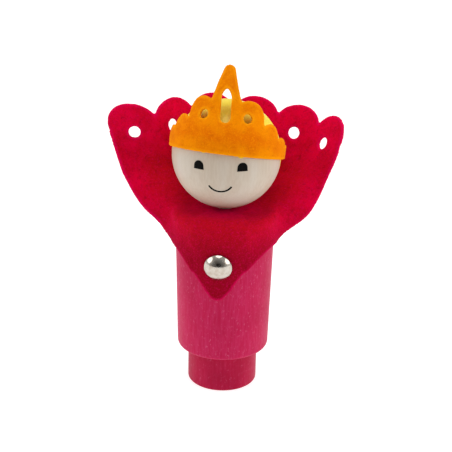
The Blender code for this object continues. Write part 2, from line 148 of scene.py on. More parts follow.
def pattern(
    tree: bpy.types.NodeTree, cell: Sequence[float], place: Sequence[float] = (0.0, 0.0, 0.0),
    **detail: float,
) -> bpy.types.NodeSocket:
    """Lay a noise over Object coordinates, with its cell's size given in metres.

    Args:
        tree: The material's node tree.
        cell: The length of one cell along X, Y and Z.
        place: A shift that keeps two patterns of one size apart.
        detail: The noise's own inputs, such as Detail or Distortion.

    Returns:
        The noise's value, from 0 to 1.
    """
    where = add_node(tree, "ShaderNodeTexCoord")
    scale = tuple(1.0 / length for length in cell)
    sized = add_node(
        tree, "ShaderNodeMapping",
        {"Vector": where.outputs["Object"], "Scale": scale, "Location": tuple(place)},
    )
    words = {name.replace("_", " ").title(): value for name, value in detail.items()}
    noise = add_node(
        tree, "ShaderNodeTexNoise", {"Vector": sized.outputs[0], "Scale": 1.0, **words}
    )
    return noise.outputs[0]


def window(
    tree: bpy.types.NodeTree, value: bpy.types.NodeSocket, low: float, high: float,
    to_low: float = 0.0, to_high: float = 1.0,
) -> bpy.types.NodeSocket:
    """Map a range of a value smoothly to another range.

    Args:
        tree: The material's node tree.
        value: The value to map.
        low: Where the range starts.
        high: Where it ends.
        to_low: The result at its start.
        to_high: The result at its end.

    Returns:
        The mapped value.
    """
    inputs = {
        "Value": value, "From Min": low, "From Max": high, "To Min": to_low, "To Max": to_high,
    }
    return add_node(
        tree, "ShaderNodeMapRange", inputs, interpolation_type="SMOOTHSTEP"
    ).outputs[0]


def blend_colours(
    tree: bpy.types.NodeTree, factor: bpy.types.NodeSocket, below: object, above: object
) -> bpy.types.NodeSocket:
    """Mix two colours by a factor.

    Args:
        tree: The material's node tree.
        factor: The share of the second colour.
        below: The first colour or socket.
        above: The second colour or socket.

    Returns:
        The mixed colour.
    """
    return add_node(
        tree, "ShaderNodeMix", {0: factor, 6: below, 7: above}, data_type="RGBA"
    ).outputs[2]


@dataclass(frozen=True)
class StainedBeech:
    """Beech turned on a lathe, sanded and dipped in a thin water stain.

    The stain sits deeper in the pores and skips a few dry flecks, so the eye gets a fine upright
    grain with pale specks under a low satin gloss that whitens towards the edges.
    """

    name: str
    stain: str
    deep: str
    pale: str
    fleck: str
    roughness: float = 0.5
    gloss: float = 0.09
    dust: float = 0.12
    grain: tuple[float, float, float] = (0.42 * MM, 0.42 * MM, 7.0 * MM)
    pore: tuple[float, float, float] = (0.3 * MM, 0.3 * MM, 1.6 * MM)
    speck: tuple[float, float, float] = (0.8 * MM, 0.8 * MM, 1.4 * MM)
    patch: tuple[float, float, float] = (9.0 * MM, 9.0 * MM, 16.0 * MM)

    def material(self) -> bpy.types.Material:
        """Build the finish.

        Returns:
            The finished material.
        """
        surface, tree, shader = blank_material(self.name)
        # Real pores are 0.1 mm wide; these are drawn three times wider so that they show.
        grain = pattern(tree, self.grain, detail=4.0, roughness=0.6)
        pore = pattern(tree, self.pore, (3.0, 1.0, 2.0), detail=2.0, roughness=0.5)
        patch = pattern(tree, self.patch, (5.0, 2.0, 7.0), detail=2.0)
        speck = pattern(tree, self.speck, (1.0, 6.0, 4.0), detail=5.0, roughness=0.75)
        colour = blend_colours(
            tree, window(tree, grain, 0.36, 0.68, 0.0, 0.6), linear(self.stain),
            linear(self.pale),
        )
        colour = blend_colours(tree, window(tree, patch, 0.4, 0.7, 0.0, 0.45), colour,
                               linear(self.deep))
        colour = blend_colours(tree, window(tree, pore, 0.6, 0.76, 0.0, 0.35), colour,
                               linear(self.deep))
        colour = blend_colours(tree, window(tree, speck, 0.54, 0.8, 0.0, 0.6), colour,
                               linear(self.fleck))
        tree.links.new(colour, shader.inputs["Base Color"])
        rough = window(tree, pore, 0.3, 0.75, self.roughness - 0.06, self.roughness + 0.14)
        tree.links.new(rough, shader.inputs["Roughness"])
        shader.inputs["IOR"].default_value = 1.5
        shader.inputs["Specular IOR Level"].default_value = self.gloss
        shader.inputs["Sheen Weight"].default_value = self.dust
        shader.inputs["Sheen Roughness"].default_value = 0.4
        shader.inputs["Sheen Tint"].default_value = linear("#FFB4D0")
        bump = add_node(
            tree, "ShaderNodeBump", {"Height": grain, "Strength": 0.35, "Distance": 0.06 * MM}
        )
        deeper = add_node(
            tree, "ShaderNodeBump",
            {"Height": pore, "Strength": 0.3, "Distance": 0.05 * MM, "Normal": bump.outputs[0]},
            invert=True,
        )
        tree.links.new(deeper.outputs[0], shader.inputs["Normal"])
        return surface


@dataclass(frozen=True)
class BareBeech:
    """Pale beech, turned and finely sanded, with hair painted on where a level says so.

    The bare wood gives the eye a silky cream with faint upright lines; the paint is thin, so the
    grain still shows through its yellow.
    """

    name: str
    wood: str
    line: str
    cool: str
    hair: str | None = None
    hair_deep: str = "#E8D010"
    hair_pale: str = "#FAE83C"
    # Where the hair's edge lies along Y and along the crown's axis, at the brow and at the nape.
    brow_depth: float = -9.0 * MM
    nape_depth: float = 17.0 * MM
    brow_level: float = 1.0 * MM
    nape_level: float = -10.5 * MM
    wave: float = 1.3 * MM
    drip: tuple[float, float, float] = (6.4 * MM, -16.1 * MM, 88.2 * MM)
    drip_radius: float = 1.6 * MM

    def material(self) -> bpy.types.Material:
        """Build the finish.

        Returns:
            The finished material.
        """
        surface, tree, shader = blank_material(self.name)
        # Growth lines are 0.5 to 1 mm apart on a small ball.
        grain = pattern(tree, (0.55 * MM, 0.55 * MM, 14.0 * MM), detail=4.0, roughness=0.6)
        ray = pattern(tree, (0.4 * MM, 0.4 * MM, 1.8 * MM), (4.0, 2.0, 1.0), detail=2.0)
        patch = pattern(tree, (8.0 * MM, 8.0 * MM, 20.0 * MM), (2.0, 5.0, 3.0), detail=1.0)
        colour = blend_colours(
            tree, window(tree, grain, 0.36, 0.66, 0.0, 0.6), linear(self.wood), linear(self.line)
        )
        colour = blend_colours(tree, window(tree, patch, 0.4, 0.66, 0.0, 0.5), colour,
                               linear(self.cool))
        colour = blend_colours(tree, window(tree, ray, 0.62, 0.75, 0.0, 0.3), colour,
                               linear(self.line))
        if self.hair is not None:
            paint = blend_colours(tree, window(tree, patch, 0.35, 0.65), linear(self.hair),
                                  linear(self.hair_deep))
            paint = blend_colours(tree, window(tree, grain, 0.4, 0.7, 0.0, 0.5), paint,
                                  linear(self.hair_pale))
            colour = blend_colours(tree, self.hair_mask(tree), colour, paint)
        tree.links.new(colour, shader.inputs["Base Color"])
        tree.links.new(window(tree, ray, 0.3, 0.75, 0.4, 0.56), shader.inputs["Roughness"])
        shader.inputs["IOR"].default_value = 1.5
        shader.inputs["Subsurface Weight"].default_value = 0.08
        shader.inputs["Subsurface Radius"].default_value = (0.9 * MM, 0.5 * MM, 0.3 * MM)
        shader.inputs["Subsurface Scale"].default_value = 1.0
        bump = add_node(
            tree, "ShaderNodeBump", {"Height": grain, "Strength": 0.2, "Distance": 0.05 * MM}
        )
        tree.links.new(bump.outputs[0], shader.inputs["Normal"])
        return surface

    def hair_mask(self, tree: bpy.types.NodeTree) -> bpy.types.NodeSocket:
        """Say where the head is painted: above a wavy line, and in one small drip at the brow.

        Args:
            tree: The material's node tree.

        Returns:
            One on the paint and zero on bare wood.
        """
        where = add_node(tree, "ShaderNodeTexCoord").outputs["Object"]
        axis = CROWN_TURN.to_matrix() @ UP
        offset = add_node(
            tree, "ShaderNodeVectorMath", {0: where, 1: CROWN_BASE}, operation="SUBTRACT"
        )
        level = add_node(
            tree, "ShaderNodeVectorMath", {0: offset.outputs[0], 1: axis}, operation="DOT_PRODUCT"
        )
        depth = add_node(tree, "ShaderNodeSeparateXYZ", {0: where}).outputs["Y"]
        edge = window(
            tree, depth, self.brow_depth, self.nape_depth, self.brow_level, self.nape_level
        )
        ripple = pattern(tree, (3.4 * MM, 3.4 * MM, 60.0 * MM), (7.0, 3.0, 0.0), detail=1.0)
        wave = window(tree, ripple, 0.3, 0.7, -self.wave, self.wave)
        line = add_node(tree, "ShaderNodeMath", {0: edge, 1: wave}, operation="ADD").outputs[0]
        above = add_node(
            tree, "ShaderNodeMath", {0: level.outputs["Value"], 1: line}, operation="SUBTRACT"
        ).outputs[0]
        painted = window(tree, above, -0.12 * MM, 0.12 * MM)
        reach = add_node(
            tree, "ShaderNodeVectorMath", {0: where, 1: self.drip}, operation="DISTANCE"
        ).outputs["Value"]
        drip = window(tree, reach, self.drip_radius, self.drip_radius * 0.85)
        return add_node(
            tree, "ShaderNodeMath", {0: painted, 1: drip}, operation="MAXIMUM"
        ).outputs[0]


@dataclass(frozen=True)
class PadInk:
    """Black ink pad-printed on bare wood.

    The film is thin and slightly uneven, so its gloss breaks up and its black is a little warm.
    """

    name: str = "pad_printed_ink"
    ink: str = "#050606"
    thin: str = "#0D0B0A"

    def material(self) -> bpy.types.Material:
        """Build the finish.

        Returns:
            The finished material.
        """
        surface, tree, shader = blank_material(self.name)
        mottle = pattern(tree, (0.5 * MM, 0.5 * MM, 0.5 * MM), detail=3.0)
        fibre = pattern(tree, (0.3 * MM, 0.3 * MM, 2.0 * MM), (2.0, 8.0, 1.0), detail=2.0)
        colour = blend_colours(
            tree, window(tree, mottle, 0.4, 0.7), linear(self.ink), linear(self.thin)
        )
        tree.links.new(colour, shader.inputs["Base Color"])
        tree.links.new(window(tree, fibre, 0.3, 0.7, 0.36, 0.55), shader.inputs["Roughness"])
        shader.inputs["Specular IOR Level"].default_value = 0.05
        bump = add_node(
            tree, "ShaderNodeBump", {"Height": fibre, "Strength": 0.15, "Distance": 0.02 * MM}
        )
        tree.links.new(bump.outputs[0], shader.inputs["Normal"])
        return surface


@dataclass(frozen=True)
class PressedFelt:
    """Dyed wool felt, pressed and cut with a die.

    Matted fibres in every direction give the eye a dull, cloudy colour with darker knots and a
    bloom of loose fibre where the sheet turns away. Painted light is laid over that colour: a
    painted highlight along the cut edges, painted shade in the middle of the sheet, and painted
    shade below a given height.
    """

    name: str
    dye: str
    deep: str
    knot: str
    edge: str
    bloom: str
    inner_shade: str
    sheen: float = 0.35
    cloud_share: float = 0.8
    knot_share: float = 0.55
    edge_highlight_share: float = 0.45
    # Distances from the nearest cut edge: where the painted edge highlight ends, and where the
    # painted inner shade starts.
    edge_highlight_from: float = 0.5 * MM
    edge_highlight_to: float = 1.35 * MM
    inner_shade_from: float = 3.0 * MM
    inner_shade_to: float = 12.0 * MM
    inner_shade_share: float = 0.78
    # The heights between which painted shade darkens the felt towards the bottom, in the knot
    # colour.
    low_shade_from: float = 0.0
    low_shade_to: float = -1.0 * MM
    low_shade_share: float = 0.9

    def material(self) -> bpy.types.Material:
        """Build the finish.

        Returns:
            The finished material.
        """
        surface, tree, shader = blank_material(self.name)
        # Wool is 0.03 mm thick; its tufts are drawn at 0.3 to 0.6 mm so that they show.
        tuft = pattern(tree, (0.55 * MM,) * 3, detail=5.0, roughness=0.7, distortion=1.1)
        cloud = pattern(tree, (5.5 * MM,) * 3, (4.0, 1.0, 6.0), detail=3.0, roughness=0.55)
        knot = pattern(tree, (1.5 * MM,) * 3, (2.0, 7.0, 5.0), detail=4.0, roughness=0.65,
                       distortion=0.6)
        colour = blend_colours(
            tree, window(tree, cloud, 0.36, 0.66, 0.0, self.cloud_share), linear(self.dye),
            linear(self.deep),
        )
        reach = add_node(tree, "ShaderNodeAttribute", attribute_name="edge_distance").outputs["Fac"]
        # Painted shade: away from the cut edges, in the middle of the sheet, the colour turns
        # darker and redder. On the collar this stands in for the head's shade and its warm bounce
        # light.
        inner = window(tree, reach, self.inner_shade_from, self.inner_shade_to, 0.0, self.inner_shade_share)
        colour = blend_colours(tree, inner, colour, linear(self.inner_shade))
        where = add_node(tree, "ShaderNodeTexCoord").outputs["Object"]
        height = add_node(tree, "ShaderNodeSeparateXYZ", {0: where}).outputs["Z"]
        # Painted shade: below a given height the colour turns towards the knot colour, darker
        # towards the bottom.
        low_shade = window(tree, height, self.low_shade_from, self.low_shade_to, 0.0, self.low_shade_share)
        colour = blend_colours(tree, low_shade, colour, linear(self.knot))
        colour = blend_colours(tree, window(tree, knot, 0.48, 0.75, 0.0, self.knot_share), colour,
                               linear(self.knot))
        colour = blend_colours(tree, window(tree, tuft, 0.47, 0.7, 0.0, 0.5), colour,
                               linear(self.edge))
        # Painted highlight: near every cut edge the colour turns towards the pale edge colour.
        cut = window(tree, reach, self.edge_highlight_to, self.edge_highlight_from, 0.0, self.edge_highlight_share)
        colour = blend_colours(tree, cut, colour, linear(self.edge))
        tree.links.new(colour, shader.inputs["Base Color"])
        tree.links.new(window(tree, tuft, 0.3, 0.7, 0.86, 1.0), shader.inputs["Roughness"])
        shader.inputs["Specular IOR Level"].default_value = 0.03
        shader.inputs["Sheen Weight"].default_value = self.sheen
        shader.inputs["Sheen Roughness"].default_value = 0.35
        shader.inputs["Sheen Tint"].default_value = linear(self.bloom)
        bump = add_node(
            tree, "ShaderNodeBump", {"Height": tuft, "Strength": 0.6, "Distance": 0.16 * MM}
        )
        soft = add_node(
            tree, "ShaderNodeBump",
            {"Height": knot, "Strength": 0.35, "Distance": 0.25 * MM, "Normal": bump.outputs[0]},
        )
        tree.links.new(soft.outputs[0], shader.inputs["Normal"])
        return surface


@dataclass(frozen=True)
class NickelPlate:
    """Steel stamped to a dome and nickel-plated bright.

    The plating mirrors the room with a slightly warm grey and a few soft handling marks.
    """

    name: str = "bright_nickel_plate"
    metal: str = "#C6BFB4"
    warm: str = "#B6AA9C"
    roughness: float = 0.16

    def material(self) -> bpy.types.Material:
        """Build the finish.

        Returns:
            The finished material.
        """
        surface, tree, shader = blank_material(self.name)
        smear = pattern(tree, (1.8 * MM,) * 3, detail=3.0)
        scuff = pattern(tree, (0.25 * MM, 1.6 * MM, 0.25 * MM), (3.0, 2.0, 9.0), detail=2.0)
        colour = blend_colours(
            tree, window(tree, smear, 0.4, 0.7), linear(self.metal), linear(self.warm)
        )
        tree.links.new(colour, shader.inputs["Base Color"])
        shader.inputs["Metallic"].default_value = 1.0
        rough = window(tree, scuff, 0.5, 0.75, self.roughness, self.roughness + 0.12)
        tree.links.new(rough, shader.inputs["Roughness"])
        bump = add_node(
            tree, "ShaderNodeBump", {"Height": smear, "Strength": 0.05, "Distance": 0.03 * MM}
        )
        tree.links.new(bump.outputs[0], shader.inputs["Normal"])
        return surface


class Workpiece:
    """A mesh that is being modelled with Blender's own tools."""

    def __init__(self, name: str, add: Callable[..., object], **shape: object) -> None:
        """Add a primitive with nothing else selected, and move its place into its mesh.

        Args:
            name: The piece's name.
            add: The operator that adds the primitive.
            shape: The operator's own settings.
        """
        bpy.ops.object.select_all(action="DESELECT")
        add(**shape)
        self.thing = bpy.context.object
        self.thing.name = name
        self.thing.data.name = name
        self.settle()

    @classmethod
    def from_mesh(cls, name: str, points: Sequence[Vector], faces: Sequence) -> "Workpiece":
        """Take a sheet that was laid out point by point.

        Args:
            name: The piece's name.
            points: Its points.
            faces: Its faces as rows of point numbers.

        Returns:
            The piece, selected and active.
        """
        bpy.ops.object.select_all(action="DESELECT")
        mesh = bpy.data.meshes.new(name)
        mesh.from_pydata(points, [], faces)
        piece = cls.__new__(cls)
        piece.thing = bpy.data.objects.new(name, mesh)
        bpy.context.scene.collection.objects.link(piece.thing)
        piece.thing.select_set(True)
        bpy.context.view_layer.objects.active = piece.thing
        return piece

    def settle(self) -> None:
        """Move the object's place, turn and size into its mesh."""
        bpy.ops.object.transform_apply(location=True, rotation=True, scale=True)

    def place(self, matrix: Matrix) -> None:
        """Carry the whole piece by a matrix, into its mesh."""
        self.rest()
        self.thing.matrix_world = matrix
        self.settle()

    def select(self, element: Element, test: Callable[[Vector], bool]) -> None:
        """Select elements in edit mode by their middle points.

        Args:
            element: The kind of element to pick.
            test: Says from an element's middle point whether it is picked.
        """
        bpy.ops.object.mode_set(mode="EDIT")
        bpy.ops.mesh.select_mode(type=element.value)
        bpy.ops.mesh.select_all(action="DESELECT")
        shape = bmesh.from_edit_mesh(self.thing.data)
        if element is Element.VERTEX:
            for vertex in shape.verts:
                vertex.select_set(test(vertex.co))
        elif element is Element.EDGE:
            for edge in shape.edges:
                edge.select_set(test((edge.verts[0].co + edge.verts[1].co) / 2))
        else:
            for face in shape.faces:
                face.select_set(test(face.calc_center_median()))
        shape.select_flush_mode()
        bmesh.update_edit_mesh(self.thing.data)

    def rest(self) -> None:
        """Leave edit mode and make this the one selected object."""
        if bpy.context.mode != "OBJECT":
            bpy.ops.object.mode_set(mode="OBJECT")
        bpy.ops.object.select_all(action="DESELECT")
        self.thing.select_set(True)
        bpy.context.view_layer.objects.active = self.thing

    def apply(self, kind: str, **settings: object) -> None:
        """Put a modifier on the piece and apply it.

        Args:
            kind: The modifier's type.
            settings: The modifier's own settings.
        """
        self.rest()
        modifier = self.thing.modifiers.new(kind.lower(), kind)
        for name, value in settings.items():
            setattr(modifier, name, value)
        bpy.ops.object.modifier_apply(modifier=modifier.name)

    def cut(self, tool: "Workpiece") -> None:
        """Subtract another workpiece and throw it away."""
        self.apply("BOOLEAN", operation="DIFFERENCE", solver="EXACT", object=tool.thing)
        bpy.data.objects.remove(tool.thing, do_unlink=True)

    def merge(self, distance: float) -> None:
        """Merge points that lie closer than a distance, and turn every face outwards."""
        bpy.ops.object.mode_set(mode="EDIT")
        bpy.ops.mesh.select_all(action="SELECT")
        bpy.ops.mesh.remove_doubles(threshold=distance)
        bpy.ops.mesh.normals_make_consistent(inside=False)
        self.rest()

    def dress(self, surface: bpy.types.Material, body: Body, slot: str, *nodes: str) -> None:
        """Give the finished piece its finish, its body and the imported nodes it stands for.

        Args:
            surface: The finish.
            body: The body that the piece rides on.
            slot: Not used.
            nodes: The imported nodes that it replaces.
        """
        self.rest()
        self.thing.data.materials.clear()
        self.thing.data.materials.append(surface)
        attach(self.thing, body.value)
        if nodes:
            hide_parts(*nodes)
        LOG.info("%s: %d faces", self.thing.name, len(self.thing.data.polygons))


def cylinder(name: str, radius: float, start: Vector, end: Vector, sides: int = 48) -> Workpiece:
    """Add a cylinder between two points.

    Args:
        name: The piece's name.
        radius: Its radius.
        start: The middle of one end.
        end: The middle of the other.
        sides: How many sides it has.

    Returns:
        The cylinder.
    """
    turn = (end - start).to_track_quat("Z", "Y").to_euler()
    return Workpiece(
        name, bpy.ops.mesh.primitive_cylinder_add, vertices=sides, radius=radius,
        depth=(end - start).length, location=(start + end) / 2, rotation=turn,
    )


def flat_distance(spot: Vector) -> float:
    """Return a point's distance from the Z axis."""
    return Vector((spot.x, spot.y, 0.0)).length


@dataclass
class TurnedBody:
    """The body sleeve and the hand stick that turns inside it."""

    sleeve_finish: StainedBeech
    shaded_stick_finish: StainedBeech
    sides: int = 128
    bottom_edge: float = 1.35 * MM
    stick_radius: float = 12.0 * MM
    stick_edge: float = 1.1 * MM
    seat_depth: float = 15.0 * MM
    nail_depth: float = 10.3 * MM
    edge_steps: int = 6

    def build(self) -> None:
        """Model and dress both turned pieces."""
        self.build_sleeve()
        self.build_stick()

    def round_edge(self, piece: Workpiece, height: float, radius: float, size: float) -> None:
        """Round the rim that lies at a height and a radius.

        Args:
            piece: The turned piece.
            height: The rim's height.
            radius: The rim's radius.
            size: The radius of the rounding.
        """
        piece.select(
            Element.EDGE,
            lambda spot: abs(spot.z - height) < NEAR and abs(flat_distance(spot) - radius) < NEAR,
        )
        bpy.ops.mesh.bevel(offset=size, segments=self.edge_steps, affect="EDGES")

    def sink(self, piece: Workpiece, height: float, wall: float, depth: float) -> None:
        """Sink a bore into the end face at a height.

        Args:
            piece: The turned piece.
            height: The end face's height.
            wall: How far the bore stays from the face's edge.
            depth: How far the bore runs up, or down where it is negative.
        """
        piece.select(
            Element.FACE,
            lambda spot: abs(spot.z - height) < TOUCH and flat_distance(spot) < NEAR,
        )
        bpy.ops.mesh.inset(thickness=wall)
        bpy.ops.mesh.extrude_region_move(TRANSFORM_OT_translate={"value": (0.0, 0.0, depth)})

    def build_sleeve(self) -> None:
        """Model the tapered sleeve with its stick bore, neck bore and nail hole."""
        ceiling = STICK_TOP + GAP
        bore = self.stick_radius + GAP
        sleeve = cylinder(
            "turned_sleeve", SLEEVE_BOTTOM_RADIUS, UP * SLEEVE_BOTTOM, UP * SLEEVE_TOP, self.sides
        )
        sleeve.select(Element.FACE, lambda spot: spot.z > SLEEVE_TOP - TOUCH)
        taper = SLEEVE_TOP_RADIUS / SLEEVE_BOTTOM_RADIUS
        bpy.ops.transform.resize(value=(taper, taper, 1.0))
        self.round_edge(sleeve, SLEEVE_TOP, SLEEVE_TOP_RADIUS, SLEEVE_TOP_EDGE)
        self.round_edge(sleeve, SLEEVE_BOTTOM, SLEEVE_BOTTOM_RADIUS, self.bottom_edge)
        top_wall = SLEEVE_TOP_RADIUS - SLEEVE_TOP_EDGE - DOWEL_BORE
        self.sink(sleeve, SLEEVE_TOP, top_wall, ceiling - SLEEVE_TOP)
        foot_wall = SLEEVE_BOTTOM_RADIUS - self.bottom_edge - bore
        self.sink(sleeve, SLEEVE_BOTTOM, foot_wall, ceiling - SLEEVE_BOTTOM)
        sleeve.select(
            Element.FACE,
            lambda spot: abs(spot.z - ceiling) < TOUCH and flat_distance(spot) < NEAR,
        )
        bpy.ops.mesh.bridge_edge_loops()
        sleeve.merge(TOUCH)
        hole = cylinder("nail_hole", SHANK_HOLE, NAIL_FRAME @ Vector((0.0, 0.0, -self.nail_depth)),
                        NAIL_FRAME @ Vector((0.0, 0.0, 1.0 * MM)), 24)
        sleeve.cut(hole)
        bpy.ops.object.shade_smooth_by_angle(angle=radians(32.0))
        sleeve.dress(
            self.sleeve_finish.material(), Body.SLEEVE, "stained_sleeve_wood", "body_sleeve"
        )

    def build_stick(self) -> None:
        """Model the hand stick with its rounded foot and its dowel seat."""
        stick = cylinder("turned_stick", self.stick_radius, UP * 0.0, UP * STICK_TOP, self.sides)
        self.round_edge(stick, 0.0, self.stick_radius, self.stick_edge)
        self.sink(stick, STICK_TOP, self.stick_radius - DOWEL_BORE, -self.seat_depth)
        stick.merge(TOUCH)
        bpy.ops.object.shade_smooth_by_angle(angle=radians(32.0))
        stick.dress(self.shaded_stick_finish.material(), Body.HEAD, "stained_stick_wood", "hand_stick")


@dataclass
class Head:
    """The ball head, the dowel under it and the printed face."""

    finish: BareBeech
    dowel_finish: BareBeech
    ink: PadInk
    segments: int = 128
    rings: int = 72
    bore_foot: float = 60.0 * MM
    bore_roof: float = 75.3 * MM
    # The face, as angles on the ball.
    eye_side: float = radians(22.8)
    eye_lift: float = radians(3.1)
    eye_half_width: float = 1.72 * MM
    eye_straight: float = 1.22 * MM
    eye_flare: float = 1.07
    eye_drop: float = 0.15 * MM
    eye_sides: int = 56
    print_cuts: int = 6
    smile_lift: float = radians(-25.1)
    smile_radius: float = 4.55 * MM
    smile_sweep: float = radians(115.0)
    smile_steps: int = 44
    line: float = 0.64 * MM
    film: float = 0.05 * MM
    film_gap: float = 0.02 * MM
    wrap_from: float = 0.4 * MM

    def build(self) -> None:
        """Model and dress the head, its face and the dowel."""
        ball = Workpiece(
            "head_ball_turned", bpy.ops.mesh.primitive_uv_sphere_add, segments=self.segments,
            ring_count=self.rings, radius=HEAD_RADIUS, location=HEAD_CENTRE,
        )
        bore = cylinder("head_bore", DOWEL_BORE, UP * self.bore_foot, UP * self.bore_roof, 64)
        ball.cut(bore)
        bpy.ops.object.shade_smooth_by_angle(angle=radians(32.0))
        ink = self.ink.material()
        for name, side in (("eye_left", -1.0), ("eye_right", 1.0)):
            self.build_eye(name, side, ball, ink)
        self.build_smile(ball, ink)
        ball.dress(self.finish.material(), Body.HEAD, "natural_wood", "head_ball")
        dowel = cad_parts["neck_dowel"]
        dowel.data.materials.clear()
        dowel.data.materials.append(self.dowel_finish.material())
        LOG.info("neck_dowel: new finish")

    def print_on(self, piece: Workpiece, side: float, lift: float, ball: Workpiece,
                 ink: bpy.types.Material) -> None:
        """Wrap a flat shape on the ball as a thin film of ink.

        Args:
            piece: The flat shape, round the origin in the XY plane.
            side: Its angle from the front, to the viewer's right.
            lift: Its angle above the ball's middle.
            ball: The head.
            ink: The ink's finish.
        """
        bpy.ops.object.mode_set(mode="OBJECT")
        out = Vector((sin(side) * cos(lift), -cos(side) * cos(lift), sin(lift)))
        turn = out.to_track_quat("Z", "Y").to_matrix().to_4x4()
        piece.place(Matrix.Translation(HEAD_CENTRE + out * (HEAD_RADIUS + self.wrap_from)) @ turn)
        piece.apply("SHRINKWRAP", target=ball.thing, wrap_method="NEAREST_SURFACEPOINT",
                    wrap_mode="OUTSIDE_SURFACE", offset=self.film_gap)
        piece.apply("SOLIDIFY", thickness=self.film, offset=1.0)
        piece.merge(0.001 * MM)
        bpy.ops.object.shade_smooth_by_angle(angle=radians(50.0))
        piece.dress(ink, Body.HEAD, "natural_wood")

    def build_eye(self, name: str, side: float, ball: Workpiece,
                  ink: bpy.types.Material) -> None:
        """Model one eye: a half disc on a short straight foot.

        Args:
            name: The eye's name.
            side: Minus one for the viewer's left, one for the right.
            ball: The head.
            ink: The ink's finish.
        """
        eye = Workpiece(name, bpy.ops.mesh.primitive_circle_add, vertices=self.eye_sides,
                        radius=self.eye_half_width, fill_type="NGON")
        eye.select(Element.VERTEX, lambda spot: spot.y < -TOUCH)
        bpy.ops.transform.resize(value=(self.eye_flare, 0.0, 1.0), center_override=(0.0, 0.0, 0.0))
        bpy.ops.transform.translate(value=(0.0, -self.eye_straight, 0.0))
        bpy.ops.mesh.select_all(action="SELECT")
        bpy.ops.transform.translate(value=(0.0, -self.eye_drop, 0.0))
        bpy.ops.mesh.poke()
        bpy.ops.mesh.subdivide(number_cuts=self.print_cuts)
        self.print_on(eye, side * self.eye_side, self.eye_lift, ball, ink)

    def build_smile(self, ball: Workpiece, ink: bpy.types.Material) -> None:
        """Model the smile: a short line spun round a centre above it, with rounded ends.

        Args:
            ball: The head.
            ink: The ink's finish.
        """
        radius = self.smile_radius
        start = radians(270.0) - self.smile_sweep / 2
        smile = Workpiece(
            "smile", bpy.ops.mesh.primitive_plane_add, size=self.line,
            location=(radius * cos(start), radius * sin(start), 0.0), rotation=(0.0, 0.0, start),
        )
        heading = Vector((-sin(start), cos(start), 0.0))
        middle = Vector((cos(start), sin(start), 0.0)) * radius
        smile.select(Element.VERTEX, lambda spot: (spot - middle).dot(heading) > 0.0)
        bpy.ops.mesh.delete(type="VERT")
        smile.select(Element.VERTEX, lambda spot: True)
        bpy.ops.transform.translate(value=heading * (self.line / 2))
        bpy.ops.mesh.spin(steps=self.smile_steps, angle=-self.smile_sweep, center=(0.0, 0.0, 0.0),
                          axis=(0.0, 0.0, 1.0))
        bpy.ops.mesh.select_all(action="SELECT")
        bpy.ops.mesh.subdivide(number_cuts=1)
        bpy.ops.transform.translate(value=(0.0, radius, 0.0))
        self.print_on(smile, 0.0, self.smile_lift, ball, ink)


@dataclass
class DomeNail:
    """The dome nail through the collar's point."""

    finish: NickelPlate
    radius: float = 4.7 * MM
    rise: float = 2.7 * MM
    wall: float = 0.5 * MM
    # The cap sits a little above its shank's line, as a driven nail's cap often does.
    off_centre: float = 0.5 * MM
    segments: int = 72
    rings: int = 48

    def build(self) -> None:
        """Model the hollow cap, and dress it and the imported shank."""
        ball = (self.radius**2 + self.rise**2) / (2 * self.rise)
        cap = Workpiece("nail_dome", bpy.ops.mesh.primitive_uv_sphere_add, segments=self.segments,
                        ring_count=self.rings, radius=ball)
        bpy.ops.object.mode_set(mode="EDIT")
        bpy.ops.mesh.select_all(action="SELECT")
        bpy.ops.mesh.bisect(plane_co=(0.0, 0.0, ball - self.rise), plane_no=(0.0, 0.0, 1.0),
                            clear_inner=True)
        cap.rest()
        cap.apply("SOLIDIFY", thickness=self.wall, offset=-1.0)
        cap.apply("BEVEL", width=0.14 * MM, segments=3, limit_method="ANGLE",
                  angle_limit=radians(40.0))
        lift = Matrix.Translation((0.0, self.off_centre, self.rise - ball))
        cap.place(NAIL_FRAME @ lift)
        cap.merge(0.001 * MM)
        bpy.ops.object.shade_smooth_by_angle(angle=radians(40.0))
        surface = self.finish.material()
        cap.dress(surface, Body.SLEEVE, "nickel", "nail_cap")
        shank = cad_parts["nail_shank"]
        shank.data.materials.clear()
        shank.data.materials.append(surface)
        LOG.info("nail_shank: new finish")


def follow_curve(table: Sequence[Sequence[float]], key: float) -> list[float]:
    """Read a smooth curve through a table's rows.

    Args:
        table: Rows of a key and its values, with rising keys.
        key: The key to read at.

    Returns:
        The values there.
    """
    keys = [row[0] for row in table]
    last = len(keys) - 2
    index = min(max(sum(1 for value in keys if value <= key) - 1, 0), last)
    span = keys[index + 1] - keys[index]
    share = min(max((key - keys[index]) / span, 0.0), 1.0)
    before = table[max(index - 1, 0)]
    after = table[min(index + 2, len(keys) - 1)]
    result = []
    for column in range(1, len(table[0])):
        here = table[index][column]
        there = table[index + 1][column]
        rise_in = (there - before[column]) * span / (keys[index + 1] - before[0])
        rise_out = (after[column] - here) * span / (after[0] - keys[index])
        result.append(
            (2 * share**3 - 3 * share**2 + 1) * here
            + (share**3 - 2 * share**2 + share) * rise_in
            + (3 * share**2 - 2 * share**3) * there
            + (share**3 - share**2) * rise_out
        )
    return result


def compass(angle: float) -> Vector:
    """Return the level direction at an angle in degrees from the front, +X positive."""
    return Vector((sin(radians(angle)), -cos(radians(angle)), 0.0))


def arc(centre: tuple[float, float], radius: float, start: float, end: float,
        count: int) -> list[tuple[float, float]]:
    """Return points along a flat arc.

    Args:
        centre: The arc's centre.
        radius: Its radius.
        start: Its first angle in degrees.
        end: Its last angle in degrees.
        count: How many steps it has.

    Returns:
        The arc's points.
    """
    turns = [radians(start + (end - start) * step / count) for step in range(count + 1)]
    return [(centre[0] + radius * cos(t), centre[1] + radius * sin(t)) for t in turns]


def path_length(path: Sequence[Vector]) -> float:
    """Return the length of a line of points."""
    return sum((after - before).length for before, after in zip(path, path[1:]))


